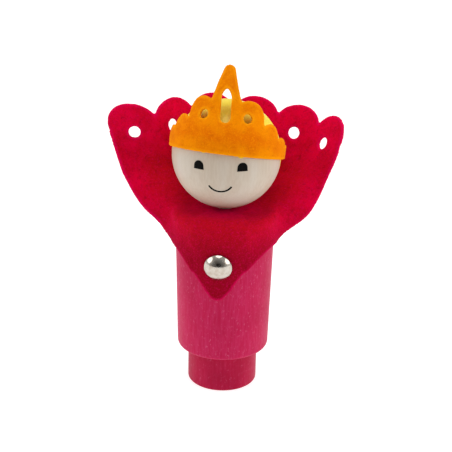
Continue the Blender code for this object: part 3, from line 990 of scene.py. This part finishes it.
def walk(path: Sequence[Vector], stops: Sequence[float]) -> list[Vector]:
    """Read points of a line at rising distances from its start.

    Args:
        path: The line's points.
        stops: The distances.

    Returns:
        One point for each distance.
    """
    found = []
    index = 0
    passed = 0.0
    step = (path[1] - path[0]).length
    for stop in stops:
        while passed + step < stop and index < len(path) - 2:
            passed += step
            index += 1
            step = (path[index + 1] - path[index]).length
        share = min((stop - passed) / step, 1.0) if step > 0.0 else 0.0
        found.append(path[index].lerp(path[index + 1], share))
    return found


@dataclass
class FeltSheet:
    """A die-cut sheet of felt: how a laid-out middle surface becomes soft, thick cloth."""

    name: str
    thickness: float
    voxel: float
    smooth_rounds: int = 5
    lump: float = 0.10 * MM
    lump_size: float = 3.2 * MM
    nap: float = 0.05 * MM
    nap_size: float = 0.8 * MM

    def raise_sheet(self, columns: Sequence[Sequence[Vector]], holes: Sequence[Workpiece],
                    cut_edges: Sequence[Vector]) -> Workpiece:
        """Thicken a closed grid of columns, cut its holes, soften it and mark its cut edges.

        Args:
            columns: The middle surface's columns, the last beside the first.
            holes: The cutters of its holes.
            cut_edges: Points along every cut edge.

        Returns:
            The felt.
        """
        rows = len(columns[0])
        count = len(columns)
        faces = []
        for column in range(count):
            here = column * rows
            there = (column + 1) % count * rows
            for row in range(rows - 1):
                faces.append((here + row, there + row, there + row + 1, here + row + 1))
        felt = Workpiece.from_mesh(self.name, [p for column in columns for p in column], faces)
        felt.apply("SOLIDIFY", thickness=self.thickness, offset=0.0, use_even_offset=True)
        felt.merge(0.001 * MM)
        for hole in holes:
            felt.cut(hole)
        felt.apply("REMESH", mode="VOXEL", voxel_size=self.voxel)
        felt.apply("SMOOTH", factor=0.5, iterations=self.smooth_rounds)
        for label, size, strength in (
            ("lump", self.lump_size, self.lump), ("nap", self.nap_size, self.nap)
        ):
            relief = bpy.data.textures.new(self.name + "_" + label, "CLOUDS")
            relief.noise_scale = size
            relief.noise_depth = 2
            felt.apply("DISPLACE", texture=relief, texture_coords="LOCAL", strength=strength,
                       mid_level=0.5)
        felt.rest()
        bpy.ops.object.shade_smooth()
        self.mark_edges(felt, cut_edges)
        return felt

    def mark_edges(self, felt: Workpiece, cut_edges: Sequence[Vector]) -> None:
        """Store on each point how far it is from the nearest cut edge.

        Args:
            felt: The felt.
            cut_edges: Points along every cut edge.
        """
        tree = kdtree.KDTree(len(cut_edges))
        for index, spot in enumerate(cut_edges):
            tree.insert(spot, index)
        tree.balance()
        mesh = felt.thing.data
        mark = mesh.attributes.new("edge_distance", "FLOAT", "POINT")
        mark.data.foreach_set("value", [tree.find(vertex.co)[2] for vertex in mesh.vertices])


@dataclass
class Collar:
    """The felt collar: an annulus on the sleeve, a pointed flap in front and six raised lobes."""

    finish: PressedFelt
    thickness: float = 1.1 * MM
    voxel: float = 0.39 * MM
    neck_radius: float = 3.6 * MM
    neck_lift: float = 0.35 * MM
    hole_radius: float = 2.05 * MM
    # Round holes: the place along the lobes, from -3 to 3, and the distance from the edge in mm.
    hole_places: tuple = (
        (-2.57, 10.6), (-1.62, 9.0), (-0.5, 10.7), (0.5, 10.7), (1.5, 10.2), (2.5, 10.5),
    )
    lobe_radius: float = 9.0 * MM
    lobe_inner_angle: float = radians(62.0)
    wing_start: float = 118.0
    rim_slope: float = 68.0
    flap_slope: float = -89.0
    flap_end: float = 76.0
    wrap_radius: float = 4.0 * MM
    base_reach: float = 12.6 * MM
    rim_reach: float = 0.45
    wall_height: float = 24.0 * MM
    flap_spokes: int = 60
    side_spokes: int = 52
    rim_spokes: int = 132
    top_rings: int = 10
    rim_rings: int = 6
    outer_rings: int = 44
    # Where the felt settles: angles from the front, distances from the neck edge, and how fully.
    settle_turns: tuple = (30.0, 62.0, 114.0, 145.0)
    settle_run: tuple = (2.0 * MM, 6.0 * MM, 22.0 * MM, 34.0 * MM)
    settle_share: float = 0.9
    settle_rounds: int = 700
    flat: tuple[float, float] = (0.109, 0.0915)
    flat_area: float = 0.00477
    # Angle from the front and height of the felt's lower edge on the sleeve.
    flap_edge: tuple = (
        (-76.0, 52.4), (-64.0, 52.6), (-50.0, 51.5), (-36.0, 48.1), (-24.0, 44.0), (-12.0, 39.2),
        (-8.0, 37.8), (-4.0, 37.2), (1.0, 37.2), (5.0, 37.7), (9.0, 38.9), (13.0, 40.4),
        (22.0, 44.6), (36.0, 49.0),
        (52.0, 52.3), (68.0, 53.7), (86.0, 53.7),
    )
    # Angle at the neck, then the edge's place, its slope and how far it wraps the sleeve's rim.
    right_edge: tuple = (
        (91.0, (20.0, 0.2, 56.0), -40.0, 62.0),
        (95.0, (23.2, 1.5, 57.9), -15.0, 38.0),
        (99.0, (26.9, 2.9, 60.6), 12.0, 22.0),
        (103.0, (29.5, 4.2, 64.0), 35.0, 12.0),
        (107.0, (31.9, 5.5, 69.0), 52.0, 6.0),
        (111.0, (34.3, 6.8, 75.5), 60.0, 2.0),
        (115.0, (36.6, 8.1, 82.0), 66.0, 0.0),
    )
    left_edge: tuple = (
        (-83.0, (-20.3, -3.0, 55.9), -42.0, 62.0),
        (-88.0, (-23.1, -2.6, 59.1), -20.0, 38.0),
        (-93.0, (-26.6, -1.5, 61.4), 4.0, 22.0),
        (-98.0, (-30.2, 0.4, 64.6), 28.0, 12.0),
        (-104.0, (-34.6, 3.6, 70.2), 45.0, 6.0),
        (-110.0, (-37.9, 6.6, 76.4), 57.0, 2.0),
        (-114.0, (-39.9, 8.4, 81.5), 64.0, 0.0),
    )
    # The line that touches the lobes' tops, at the ends of each lobe from left to right.
    rim_points: tuple = (
        (-45.0, 10.4, 94.8), (-27.7, 12.3, 96.0), (-16.1, 24.6, 96.3), (-0.8, 29.4, 96.0),
        (15.9, 28.2, 94.6), (31.0, 21.6, 93.3), (40.4, 9.6, 93.0),
    )

    def __post_init__(self) -> None:
        """Work out the levels that follow from the sleeve, and both edge tables."""
        half = GAP + self.thickness / 2
        rim = SLEEVE_TOP_EDGE + half
        # The stiff sheet bows over the rim on a wide arc that touches the rim halfway round.
        slack = (self.wrap_radius - rim) * sin(radians(45.0))
        self.wrap_start = SLEEVE_TOP_RADIUS - SLEEVE_TOP_EDGE - slack
        self.level = SLEEVE_TOP - SLEEVE_TOP_EDGE - slack + self.wrap_radius
        self.neck_level = SLEEVE_TOP + half + self.neck_lift
        self.edges = {side: self.edge_table(side) for side in (-1, 1)}

    def build(self) -> None:
        """Model and dress the collar."""
        sheet = FeltSheet("felt_collar_cut", self.thickness, self.voxel)
        columns = self.relax([self.spoke(angle) for angle in self.angles()])
        centres = [self.hole_place(lobe, drop * MM) for lobe, drop in self.hole_places]
        holes = []
        rims = [column[-1] for column in columns] + [column[0] for column in columns]
        for number, (centre, axis) in enumerate(centres):
            reach = axis * (4.0 * MM)
            holes.append(cylinder("lobe_hole_%d" % number, self.hole_radius, centre - reach,
                                  centre + reach))
            side = axis.orthogonal().normalized() * self.hole_radius
            for step in range(48):
                rims.append(centre + Matrix.Rotation(step * pi / 24, 3, axis) @ side)
        holes.append(cylinder("felt_nail_hole", SHANK_HOLE,
                              NAIL_FRAME @ Vector((0.0, 0.0, -2.0 * MM)),
                              NAIL_FRAME @ Vector((0.0, 0.0, 1.2 * MM)), 24))
        felt = sheet.raise_sheet(columns, holes, rims)
        felt.dress(self.finish.material(), Body.SLEEVE, "magenta_felt", "felt_collar")

    def relax(self, columns: list[list[Vector]]) -> list[list[Vector]]:
        """Let the felt settle where it turns from the flap to the wings, clear of the sleeve.

        Args:
            columns: The middle surface's columns as first laid.

        Returns:
            The settled columns.
        """
        grid = np.array([[tuple(spot) for spot in column] for column in columns])
        turns = np.abs(np.array(self.angles()))
        around = np.interp(turns, self.settle_turns, (0.0, 1.0, 1.0, 0.0))
        span = np.linalg.norm(np.diff(grid, axis=1), axis=2).cumsum(axis=1)
        run = np.concatenate([np.zeros((len(columns), 1)), span], axis=1)
        along = np.interp(run, self.settle_run, (0.0, 1.0, 1.0, 0.0))
        share = (self.settle_share * around[:, None] * along)[:, 1:-1, None]
        for _ in range(self.settle_rounds):
            sides = np.roll(grid, 1, axis=0) + np.roll(grid, -1, axis=0)
            mean = (sides[:, 1:-1] + grid[:, :-2] + grid[:, 2:]) / 4
            inner = grid[:, 1:-1]
            inner += share * (mean - inner)
            self.clear_sleeve(inner, share[..., 0] > 0.0)
        return [[Vector(spot) for spot in column] for column in grid.tolist()]

    def clear_sleeve(self, spots: np.ndarray, free: np.ndarray) -> None:
        """Push points of the middle surface out of the sleeve's rounded rim.

        Args:
            spots: The points, changed in place.
            free: Which of them may move.
        """
        need = SLEEVE_TOP_EDGE + GAP + self.thickness / 2
        inner = SLEEVE_TOP_RADIUS - SLEEVE_TOP_EDGE
        floor = SLEEVE_TOP - SLEEVE_TOP_EDGE
        reach = np.hypot(spots[..., 0], spots[..., 1])
        beyond = np.maximum(reach - inner, 0.0)
        above = np.maximum(spots[..., 2] - floor, 0.0)
        depth = np.maximum(np.hypot(beyond, above), 1e-9)
        push = np.where(free & (depth < need), need / depth, 1.0)
        wide = np.where(beyond > 0.0, (inner + beyond * push) / np.maximum(reach, 1e-9), 1.0)
        spots[..., 0] *= wide
        spots[..., 1] *= wide
        spots[..., 2] += above * (push - 1.0)

    def rest_radius(self, height: float) -> float:
        """Return the middle radius of felt that lies on the tapered sleeve at a height."""
        share = (height - SLEEVE_BOTTOM) / (SLEEVE_TOP - SLEEVE_BOTTOM)
        sleeve = SLEEVE_BOTTOM_RADIUS + (SLEEVE_TOP_RADIUS - SLEEVE_BOTTOM_RADIUS) * share
        return sleeve + GAP + self.thickness / 2

    def edge_table(self, side: int) -> list[tuple[float, ...]]:
        """List one side's edge as rows of angle, place, slope and wrap.

        Args:
            side: Minus one for the left side, one for the right.

        Returns:
            The rows, by rising angle.
        """
        rows = []
        for angle, height in self.flap_edge:
            if angle * side >= -13.0:
                spot = compass(angle) * (self.rest_radius(height * MM) / MM)
                rows.append((angle, spot.x, spot.y, height, -90.0, 90.0))
        wing = self.right_edge if side > 0 else self.left_edge
        rows += [(angle, *place, slope, wrap) for angle, place, slope, wrap in wing]
        corner = self.rim_line(3.0 * side)
        end = (corner - self.run_off(corner, self.rim_slope) * self.lobe_radius) / MM
        rows.append((side * self.wing_start, end.x, end.y, end.z, self.rim_slope, 0.0))
        return sorted(rows)

    def rim_line(self, lobe: float) -> Vector:
        """Return the point of the lobe-top line at a lobe coordinate from -3 to 3."""
        table = [(index - 3.0, *place) for index, place in enumerate(self.rim_points)]
        return Vector(follow_curve(table, lobe)) * MM

    def run_off(self, place: Vector, slope: float) -> Vector:
        """Return the direction in which the felt runs off its edge.

        Args:
            place: The edge's place.
            slope: Its slope in degrees.

        Returns:
            A unit vector.
        """
        outward = Vector((place.x, place.y, 0.0)).normalized()
        return outward * cos(radians(slope)) + UP * sin(radians(slope))

    def lobe_edge(self, lobe: float) -> tuple[Vector, float]:
        """Follow the round edge of the lobes.

        Args:
            lobe: The lobe coordinate, from -3 to 3.

        Returns:
            The point of the lobe-top line, and how far the edge lies below it.
        """
        number = min(int(abs(lobe)), 2)
        share = 2.0 * (abs(lobe) - number) - 1.0
        widest = pi / 2 if number == 2 and share > 0 else self.lobe_inner_angle
        turn = share * widest
        low = -sin(self.lobe_inner_angle)
        high = 1.0 if number == 2 else sin(self.lobe_inner_angle)
        along = number + (sin(turn) - low) / (high - low)
        side = 1.0 if lobe >= 0 else -1.0
        return self.rim_line(side * along), self.lobe_radius * (1.0 - cos(turn))

    def spoke_end(self, angle: float) -> tuple[Vector, Vector, float]:
        """Find where a spoke of the collar ends.

        Args:
            angle: The spoke's angle at the neck, in degrees from the front.

        Returns:
            The end, the felt's direction there and how far it wraps the sleeve's rim.
        """
        side = 1 if angle >= 0 else -1
        if abs(angle) > self.wing_start:
            lobe = side * (180.0 - abs(angle)) / (180.0 - self.wing_start) * 3.0
            top, depth = self.lobe_edge(lobe)
            tangent = self.run_off(top, self.rim_slope)
            return top - tangent * depth, tangent, 0.0
        x, y, z, slope, wrap = follow_curve(self.edges[side], angle)
        place = Vector((x, y, z)) * MM
        if slope <= self.flap_slope:
            place = compass(angle) * self.rest_radius(place.z) + UP * place.z
        return place, self.run_off(place, max(slope, self.flap_slope)), min(max(wrap, 0.0), 90.0)

    def spoke_path(self, angle: float) -> list[Vector]:
        """Lay the felt's line from the sleeve's rim out to its edge.

        Args:
            angle: The spoke's angle at the neck.

        Returns:
            The line's points.
        """
        place, tangent, wrap = self.spoke_end(angle)
        out = compass(angle)
        centre = out * self.wrap_start + UP * (self.level - self.wrap_radius)
        path = []
        for step in range(9):
            turn = radians(wrap) * step / 8
            path.append(centre + (out * sin(turn) + UP * cos(turn)) * self.wrap_radius)
        start = path[-1]
        leave = out * cos(radians(wrap)) - UP * sin(radians(wrap))
        third = (place - start).length / 3
        height = place.z - start.z
        rise = min(max(height / self.wall_height, 0.0), 1.0)
        first = start + leave * (third * (1 - rise) + self.base_reach * rise)
        second = place - tangent * (third * (1 - rise) + self.rim_reach * height * rise)
        for step in range(1, 37):
            share = step / 36
            left = 1.0 - share
            path.append(start * left**3 + first * (3 * left**2 * share)
                        + second * (3 * left * share**2) + place * share**3)
        return path

    def angles(self) -> list[float]:
        """Return the spokes' angles: even on the flap, closer on the wings and lobes."""
        side = self.wing_start - self.flap_end
        rim = 180.0 - self.wing_start
        half = [self.flap_end * step / self.flap_spokes for step in range(self.flap_spokes)]
        half += [self.flap_end + side * step / self.side_spokes
                 for step in range(self.side_spokes)]
        half += [self.wing_start + rim * step / self.rim_spokes
                 for step in range(self.rim_spokes + 1)]
        return half[:-1] + [-angle for angle in half[:0:-1]]

    def spoke(self, angle: float) -> list[Vector]:
        """Lay one column of the middle surface, from the neck hole to the edge.

        Args:
            angle: The spoke's angle at the neck.

        Returns:
            The column's points.
        """
        path = self.spoke_path(angle)
        width = self.wrap_start - self.neck_radius
        column = []
        for ring in range(self.top_rings):
            share = ring / self.top_rings
            climb = share * share * (3.0 - 2.0 * share)
            height = self.neck_level + (self.level - self.neck_level) * climb
            column.append(compass(angle) * (self.neck_radius + width * share) + UP * height)
        bend = self.wrap_radius * pi / 2
        rest = path_length(path) - bend
        stops = [bend * ring / self.rim_rings for ring in range(self.rim_rings)]
        stops += [bend + rest * ring / self.outer_rings for ring in range(self.outer_rings + 1)]
        return column + walk(path, stops)

    def hole_place(self, lobe: float, drop: float) -> tuple[Vector, Vector]:
        """Find a lobe's round hole.

        Args:
            lobe: The lobe coordinate of its middle.
            drop: Its distance from the felt's edge.

        Returns:
            The hole's centre and its axis, square to the felt.
        """
        side = 1.0 if lobe > 0 else -1.0
        angle = side * (180.0 - abs(lobe) / 3.0 * (180.0 - self.wing_start))
        path = self.spoke_path(angle)
        beside = self.spoke_path(angle + 2.0)
        depth = path_length(path) - drop
        centre, further = walk(path, [depth, depth + 1.0 * MM])
        across = walk(beside, [path_length(beside) - drop])[0] - centre
        return centre, (further - centre).cross(across).normalized()


@dataclass
class Crown:
    """The felt crown: a band round the head with lobes that lean in and a tall slotted spike."""

    finish: PressedFelt
    thickness: float = 1.0 * MM
    voxel: float = 0.26 * MM
    band_height: float = 4.4 * MM
    rows: int = 60
    spike_tip_radius: float = 2.0 * MM
    spike_tip_height: float = 28.4 * MM
    spike_half_width: float = 4.9 * MM
    spike_base_height: float = 17.0 * MM
    hole_radius: float = 1.45 * MM
    hole_side: float = 7.2 * MM
    hole_height: float = 12.0 * MM
    slot_width: float = 3.3 * MM
    slot_bottom: float = 10.0 * MM
    slot_shoulder: float = 17.5 * MM
    slot_top: float = 20.9 * MM
    # Angles at which the spike's tip ends and at which a lobe's round edge starts and ends.
    tip_end: float = 16.0
    lobe_start: float = 130.0
    lobe_end: float = 8.0
    flat: tuple[float, float] = (0.1184, 0.0284)
    flat_area: float = 0.00101
    # Height above the band's lower edge, the felt's middle radius there and its lean sideways.
    profile: tuple = (
        (0.0, 18.85, 0.0), (5.0, 18.8, 0.1), (8.0, 17.9, 0.2), (11.0, 16.4, 0.25),
        (15.0, 15.0, 0.0), (19.0, 13.8, -0.45), (24.0, 11.8, -0.75), (29.0, 9.2, -0.9),
    )
    # Lobes beside the spike: distance from the front along the felt, centre height and radius.
    lobes: tuple = ((7.7, 12.1, 5.6), (16.4, 6.6, 4.5), (23.2, 1.8, 5.2))

    def build(self) -> None:
        """Model and dress the crown."""
        sheet = FeltSheet("felt_crown_cut", self.thickness, self.voxel, lump=0.08 * MM)
        half = self.outline()
        outline = half[:-1] + [(-along, height) for along, height in half[:0:-1]]
        columns = [
            [self.point(along, height * row / self.rows) for row in range(self.rows + 1)]
            for along, height in outline
        ]
        rims = [column[0] for column in columns] + [column[-1] for column in columns]
        holes = [self.slot()]
        rims += [self.point(across, height) for across, height in self.slot_outline()]
        for name, side in (("crown_hole_left", -1.0), ("crown_hole_right", 1.0)):
            centre = self.point(side * self.hole_side, self.hole_height)
            axis = (centre - CROWN_FRAME @ Vector((0.0, 0.0, self.hole_height))).normalized()
            reach = axis * (3.0 * MM)
            holes.append(cylinder(name, self.hole_radius, centre - reach, centre + reach))
            for across, rise in arc((0.0, 0.0), self.hole_radius, 0.0, 345.0, 23):
                rims.append(
                    self.point(side * self.hole_side + across, self.hole_height + rise)
                )
        felt = sheet.raise_sheet(columns, holes, rims)
        felt.dress(self.finish.material(), Body.CROWN, "orange_felt", "felt_crown")

    def point(self, along: float, height: float) -> Vector:
        """Return the place of a spot of the flat pattern on the worn crown.

        Args:
            along: Distance from the front along the felt.
            height: Height above the band's lower edge.

        Returns:
            The place.
        """
        radius, lean = (value * MM for value in follow_curve(self.profile, height / MM))
        turn = (along + lean) / radius
        return CROWN_FRAME @ Vector((radius * sin(turn), -radius * cos(turn), height))

    def outline(self) -> list[tuple[float, float]]:
        """Return the upper edge of one half: distances from the front and heights."""
        step_size = 0.12 * MM
        tip = (0.0, self.spike_tip_height - self.spike_tip_radius)
        edge = arc(tip, self.spike_tip_radius, 90.0, self.tip_end, 20)
        top = edge[-1]
        run = self.spike_half_width - top[0]
        fall = self.spike_base_height - top[1]
        edge += [(top[0] + run * step / 24, top[1] + fall * step / 24) for step in range(1, 25)]
        for along, height, radius in self.lobes:
            reached = edge[-1][0]
            round_edge = arc(
                (along * MM, height * MM), radius * MM, self.lobe_start, self.lobe_end, 40
            )
            edge += [
                spot for spot in round_edge
                if spot[0] > reached + step_size and spot[1] > self.band_height
            ]
        back = pi * self.profile[0][1] * MM
        first = edge[-1][0] + step_size
        count = 60
        width = (back - first) / count
        edge += [(first + width * step, self.band_height) for step in range(count + 1)]
        return edge

    def slot_outline(self) -> list[tuple[float, float]]:
        """Return the slot's outline: round below and pointed above."""
        half = self.slot_width / 2
        rise = self.slot_top - self.slot_shoulder
        reach = (rise**2 + half**2) / (2 * half)
        sweep = degrees(asin(rise / reach))
        right = arc((half - reach, self.slot_shoulder), reach, 0.0, sweep, 12)
        left = [(-x, z) for x, z in right[-2::-1]]
        return arc((0.0, self.slot_bottom + half), half, 180.0, 360.0, 20) + right + left

    def slot(self) -> Workpiece:
        """Model the slot's cutter: its outline, filled and pushed back through the spike."""
        outline = self.slot_outline()
        points = [
            Vector((x + follow_curve(self.profile, z / MM)[1] * MM, -22.0 * MM, z))
            for x, z in outline
        ]
        cutter = Workpiece.from_mesh("crown_slot", points, [tuple(range(len(points)))])
        cutter.select(Element.FACE, lambda spot: True)
        bpy.ops.mesh.extrude_region_move(TRANSFORM_OT_translate={"value": (0.0, 16.0 * MM, 0.0)})
        cutter.merge(0.0001 * MM)
        cutter.place(CROWN_FRAME)
        return cutter


@dataclass
class Studio:
    """A pale floor, a bright soft room and the camera."""

    turn: float = radians(6.2)
    lift: float = radians(21.0)
    roll: float = radians(1.24)
    distance: float = 0.4
    aim_height: float = 57.14 * MM
    lens: float = 93.68
    sensor: float = 36.0
    shift: float = 0.0022
    # How bright the room is at its sides, behind the camera and above, and its darkest way.
    side_light: float = 0.72
    front_light: float = 0.12
    top_share: float = 0.6
    dark_way: tuple[float, float, float] = (0.05, -0.98, 0.16)
    floor_glow: float = 0.8
    # Name, place, size and power of each softbox.
    lamps: tuple = (
        ("softbox_left", (-0.66, -0.16, 0.42), 0.5, 1.5),
        ("softbox_right", (0.68, -0.12, 0.4), 0.5, 1.8),
        ("softbox_top", (0.0, -0.02, 0.75), 0.5, 2.2),
    )

    def build(self) -> None:
        """Build the whole studio."""
        self.build_floor()
        self.build_world()
        self.build_lights()
        self.build_camera()
        bpy.context.scene.view_settings.view_transform = "Standard"

    def build_floor(self) -> None:
        """Lay a wide floor of pale matt card that stays close to white."""
        floor = Workpiece("studio_floor", bpy.ops.mesh.primitive_plane_add, size=6.0)
        surface, tree, shader = blank_material("pale_matt_card")
        speckle = pattern(tree, (40.0 * MM,) * 3, detail=2.0)
        colour = blend_colours(tree, speckle, linear("#B4B3B2"), linear("#B8B8B8"))
        tree.links.new(colour, shader.inputs["Base Color"])
        shader.inputs["Roughness"].default_value = 0.9
        shader.inputs["Emission Color"].default_value = linear("#FFFFFF")
        shader.inputs["Emission Strength"].default_value = self.floor_glow
        floor.thing.data.materials.append(surface)

    def build_world(self) -> None:
        """Light the room white at the sides and back, greyer above and dark behind the camera."""
        world = bpy.data.worlds.new("soft_white_room")
        world.use_nodes = True
        bpy.context.scene.world = world
        tree = world.node_tree
        tree.nodes.clear()
        way = add_node(tree, "ShaderNodeTexCoord").outputs["Generated"]
        split = add_node(tree, "ShaderNodeSeparateXYZ", {0: way})
        front = window(tree, split.outputs["Y"], -0.2, -0.95, self.side_light, self.front_light)
        above = window(tree, split.outputs["Z"], 0.35, 0.95, 1.0, self.top_share)
        away = add_node(tree, "ShaderNodeVectorMath", {0: way, 1: self.dark_way},
                        operation="DISTANCE").outputs["Value"]
        dark = window(tree, away, 0.2, 0.42, 0.04, 1.0)
        level = add_node(tree, "ShaderNodeMath", {0: front, 1: above}, operation="MULTIPLY")
        level = add_node(tree, "ShaderNodeMath", {0: level.outputs[0], 1: dark},
                         operation="MULTIPLY")
        seen = add_node(tree, "ShaderNodeLightPath").outputs["Is Camera Ray"]
        room = add_node(tree, "ShaderNodeBackground", {"Strength": level.outputs[0]})
        white = add_node(tree, "ShaderNodeBackground", {"Strength": 1.0})
        for shade in (room, white):
            shade.inputs["Color"].default_value = linear("#FFFFFF")
        mixed = add_node(tree, "ShaderNodeMixShader",
                         {0: seen, 1: room.outputs[0], 2: white.outputs[0]})
        add_node(tree, "ShaderNodeOutputWorld", {0: mixed.outputs[0]})

    def build_lights(self) -> None:
        """Hang a softbox on each side and one above."""
        for name, place, size, power in self.lamps:
            lamp = bpy.data.lights.new(name, "AREA")
            lamp.shape = "DISK"
            lamp.size = size
            lamp.energy = power
            holder = bpy.data.objects.new(name, lamp)
            bpy.context.scene.collection.objects.link(holder)
            holder.location = place
            aim = UP * self.aim_height - Vector(place)
            holder.rotation_euler = aim.to_track_quat("-Z", "Y").to_euler()

    def build_camera(self) -> None:
        """Set up the camera, a little to the right and above, with a slight roll."""
        data = bpy.data.cameras.new("camera")
        data.lens = self.lens
        data.sensor_width = self.sensor
        data.shift_x = self.shift
        data.clip_start = 0.01
        camera = bpy.data.objects.new("camera", data)
        bpy.context.scene.collection.objects.link(camera)
        back = Vector((sin(self.turn) * cos(self.lift), -cos(self.turn) * cos(self.lift),
                       sin(self.lift)))
        right = Vector((cos(self.turn), sin(self.turn), 0.0))
        up = right.cross(-back)
        across = right * cos(self.roll) + up * sin(self.roll)
        upward = up * cos(self.roll) - right * sin(self.roll)
        place = UP * self.aim_height + back * self.distance
        rows = Matrix((across, upward, back)).transposed().to_4x4()
        camera.matrix_world = Matrix.Translation(place) @ rows
        bpy.context.scene.camera = camera


def main() -> None:
    """Build the puppet's sub-assemblies in order, and the studio round them."""
    logging.basicConfig(level=logging.INFO, format="%(name)s: %(message)s")
    Studio().build()
    TurnedBody(
        sleeve_finish=StainedBeech(
            "water_stained_beech_sleeve", stain="#BE1248", deep="#AC083C", pale="#C82E62",
            fleck="#E07CA4",
        ),
        # Painted shade: the stick has the sleeve's stain, drawn darker because it lies in shadow.
        shaded_stick_finish=StainedBeech(
            "water_stained_beech_stick", stain="#B2063A", deep="#9E0230", pale="#BC1C4C",
            fleck="#D6648E",
        ),
    ).build()
    Head(
        finish=BareBeech(
            "sanded_beech_with_painted_hair", wood="#C6B7A5", line="#BCAA95", cool="#CCC3B7",
            hair="#F0DE1E",
        ),
        dowel_finish=BareBeech(
            "sanded_beech_dowel", wood="#D6C2A6", line="#C4AB8A", cool="#DDCDB4"
        ),
        ink=PadInk(),
    ).build()
    DomeNail(NickelPlate()).build()
    # Painted light in this felt: a painted highlight along its cut edges, painted shade with a warm
    # tint in the middle of the sheet, and painted shade on the flap from 68 mm down to 50 mm.
    Collar(
        PressedFelt(
            "pressed_felt_magenta", dye="#E20036", deep="#C80424", knot="#8C0618",
            edge="#E60860", bloom="#FF1090", inner_shade="#BC0C10", low_shade_from=68.0 * MM,
            low_shade_to=50.0 * MM,
        )
    ).build()
    # Painted light in this felt: a painted highlight along its cut edges and painted shade in the
    # middle of the sheet.
    Crown(
        PressedFelt(
            "pressed_felt_orange", dye="#F08600", deep="#E26E00", knot="#C25600",
            edge="#FFA80C", bloom="#FFB030", inner_shade="#E06400", inner_shade_from=2.0 * MM,
            inner_shade_to=6.5 * MM, inner_shade_share=0.6, knot_share=0.35,
        )
    ).build()


if __name__ == "__main__":
    main()
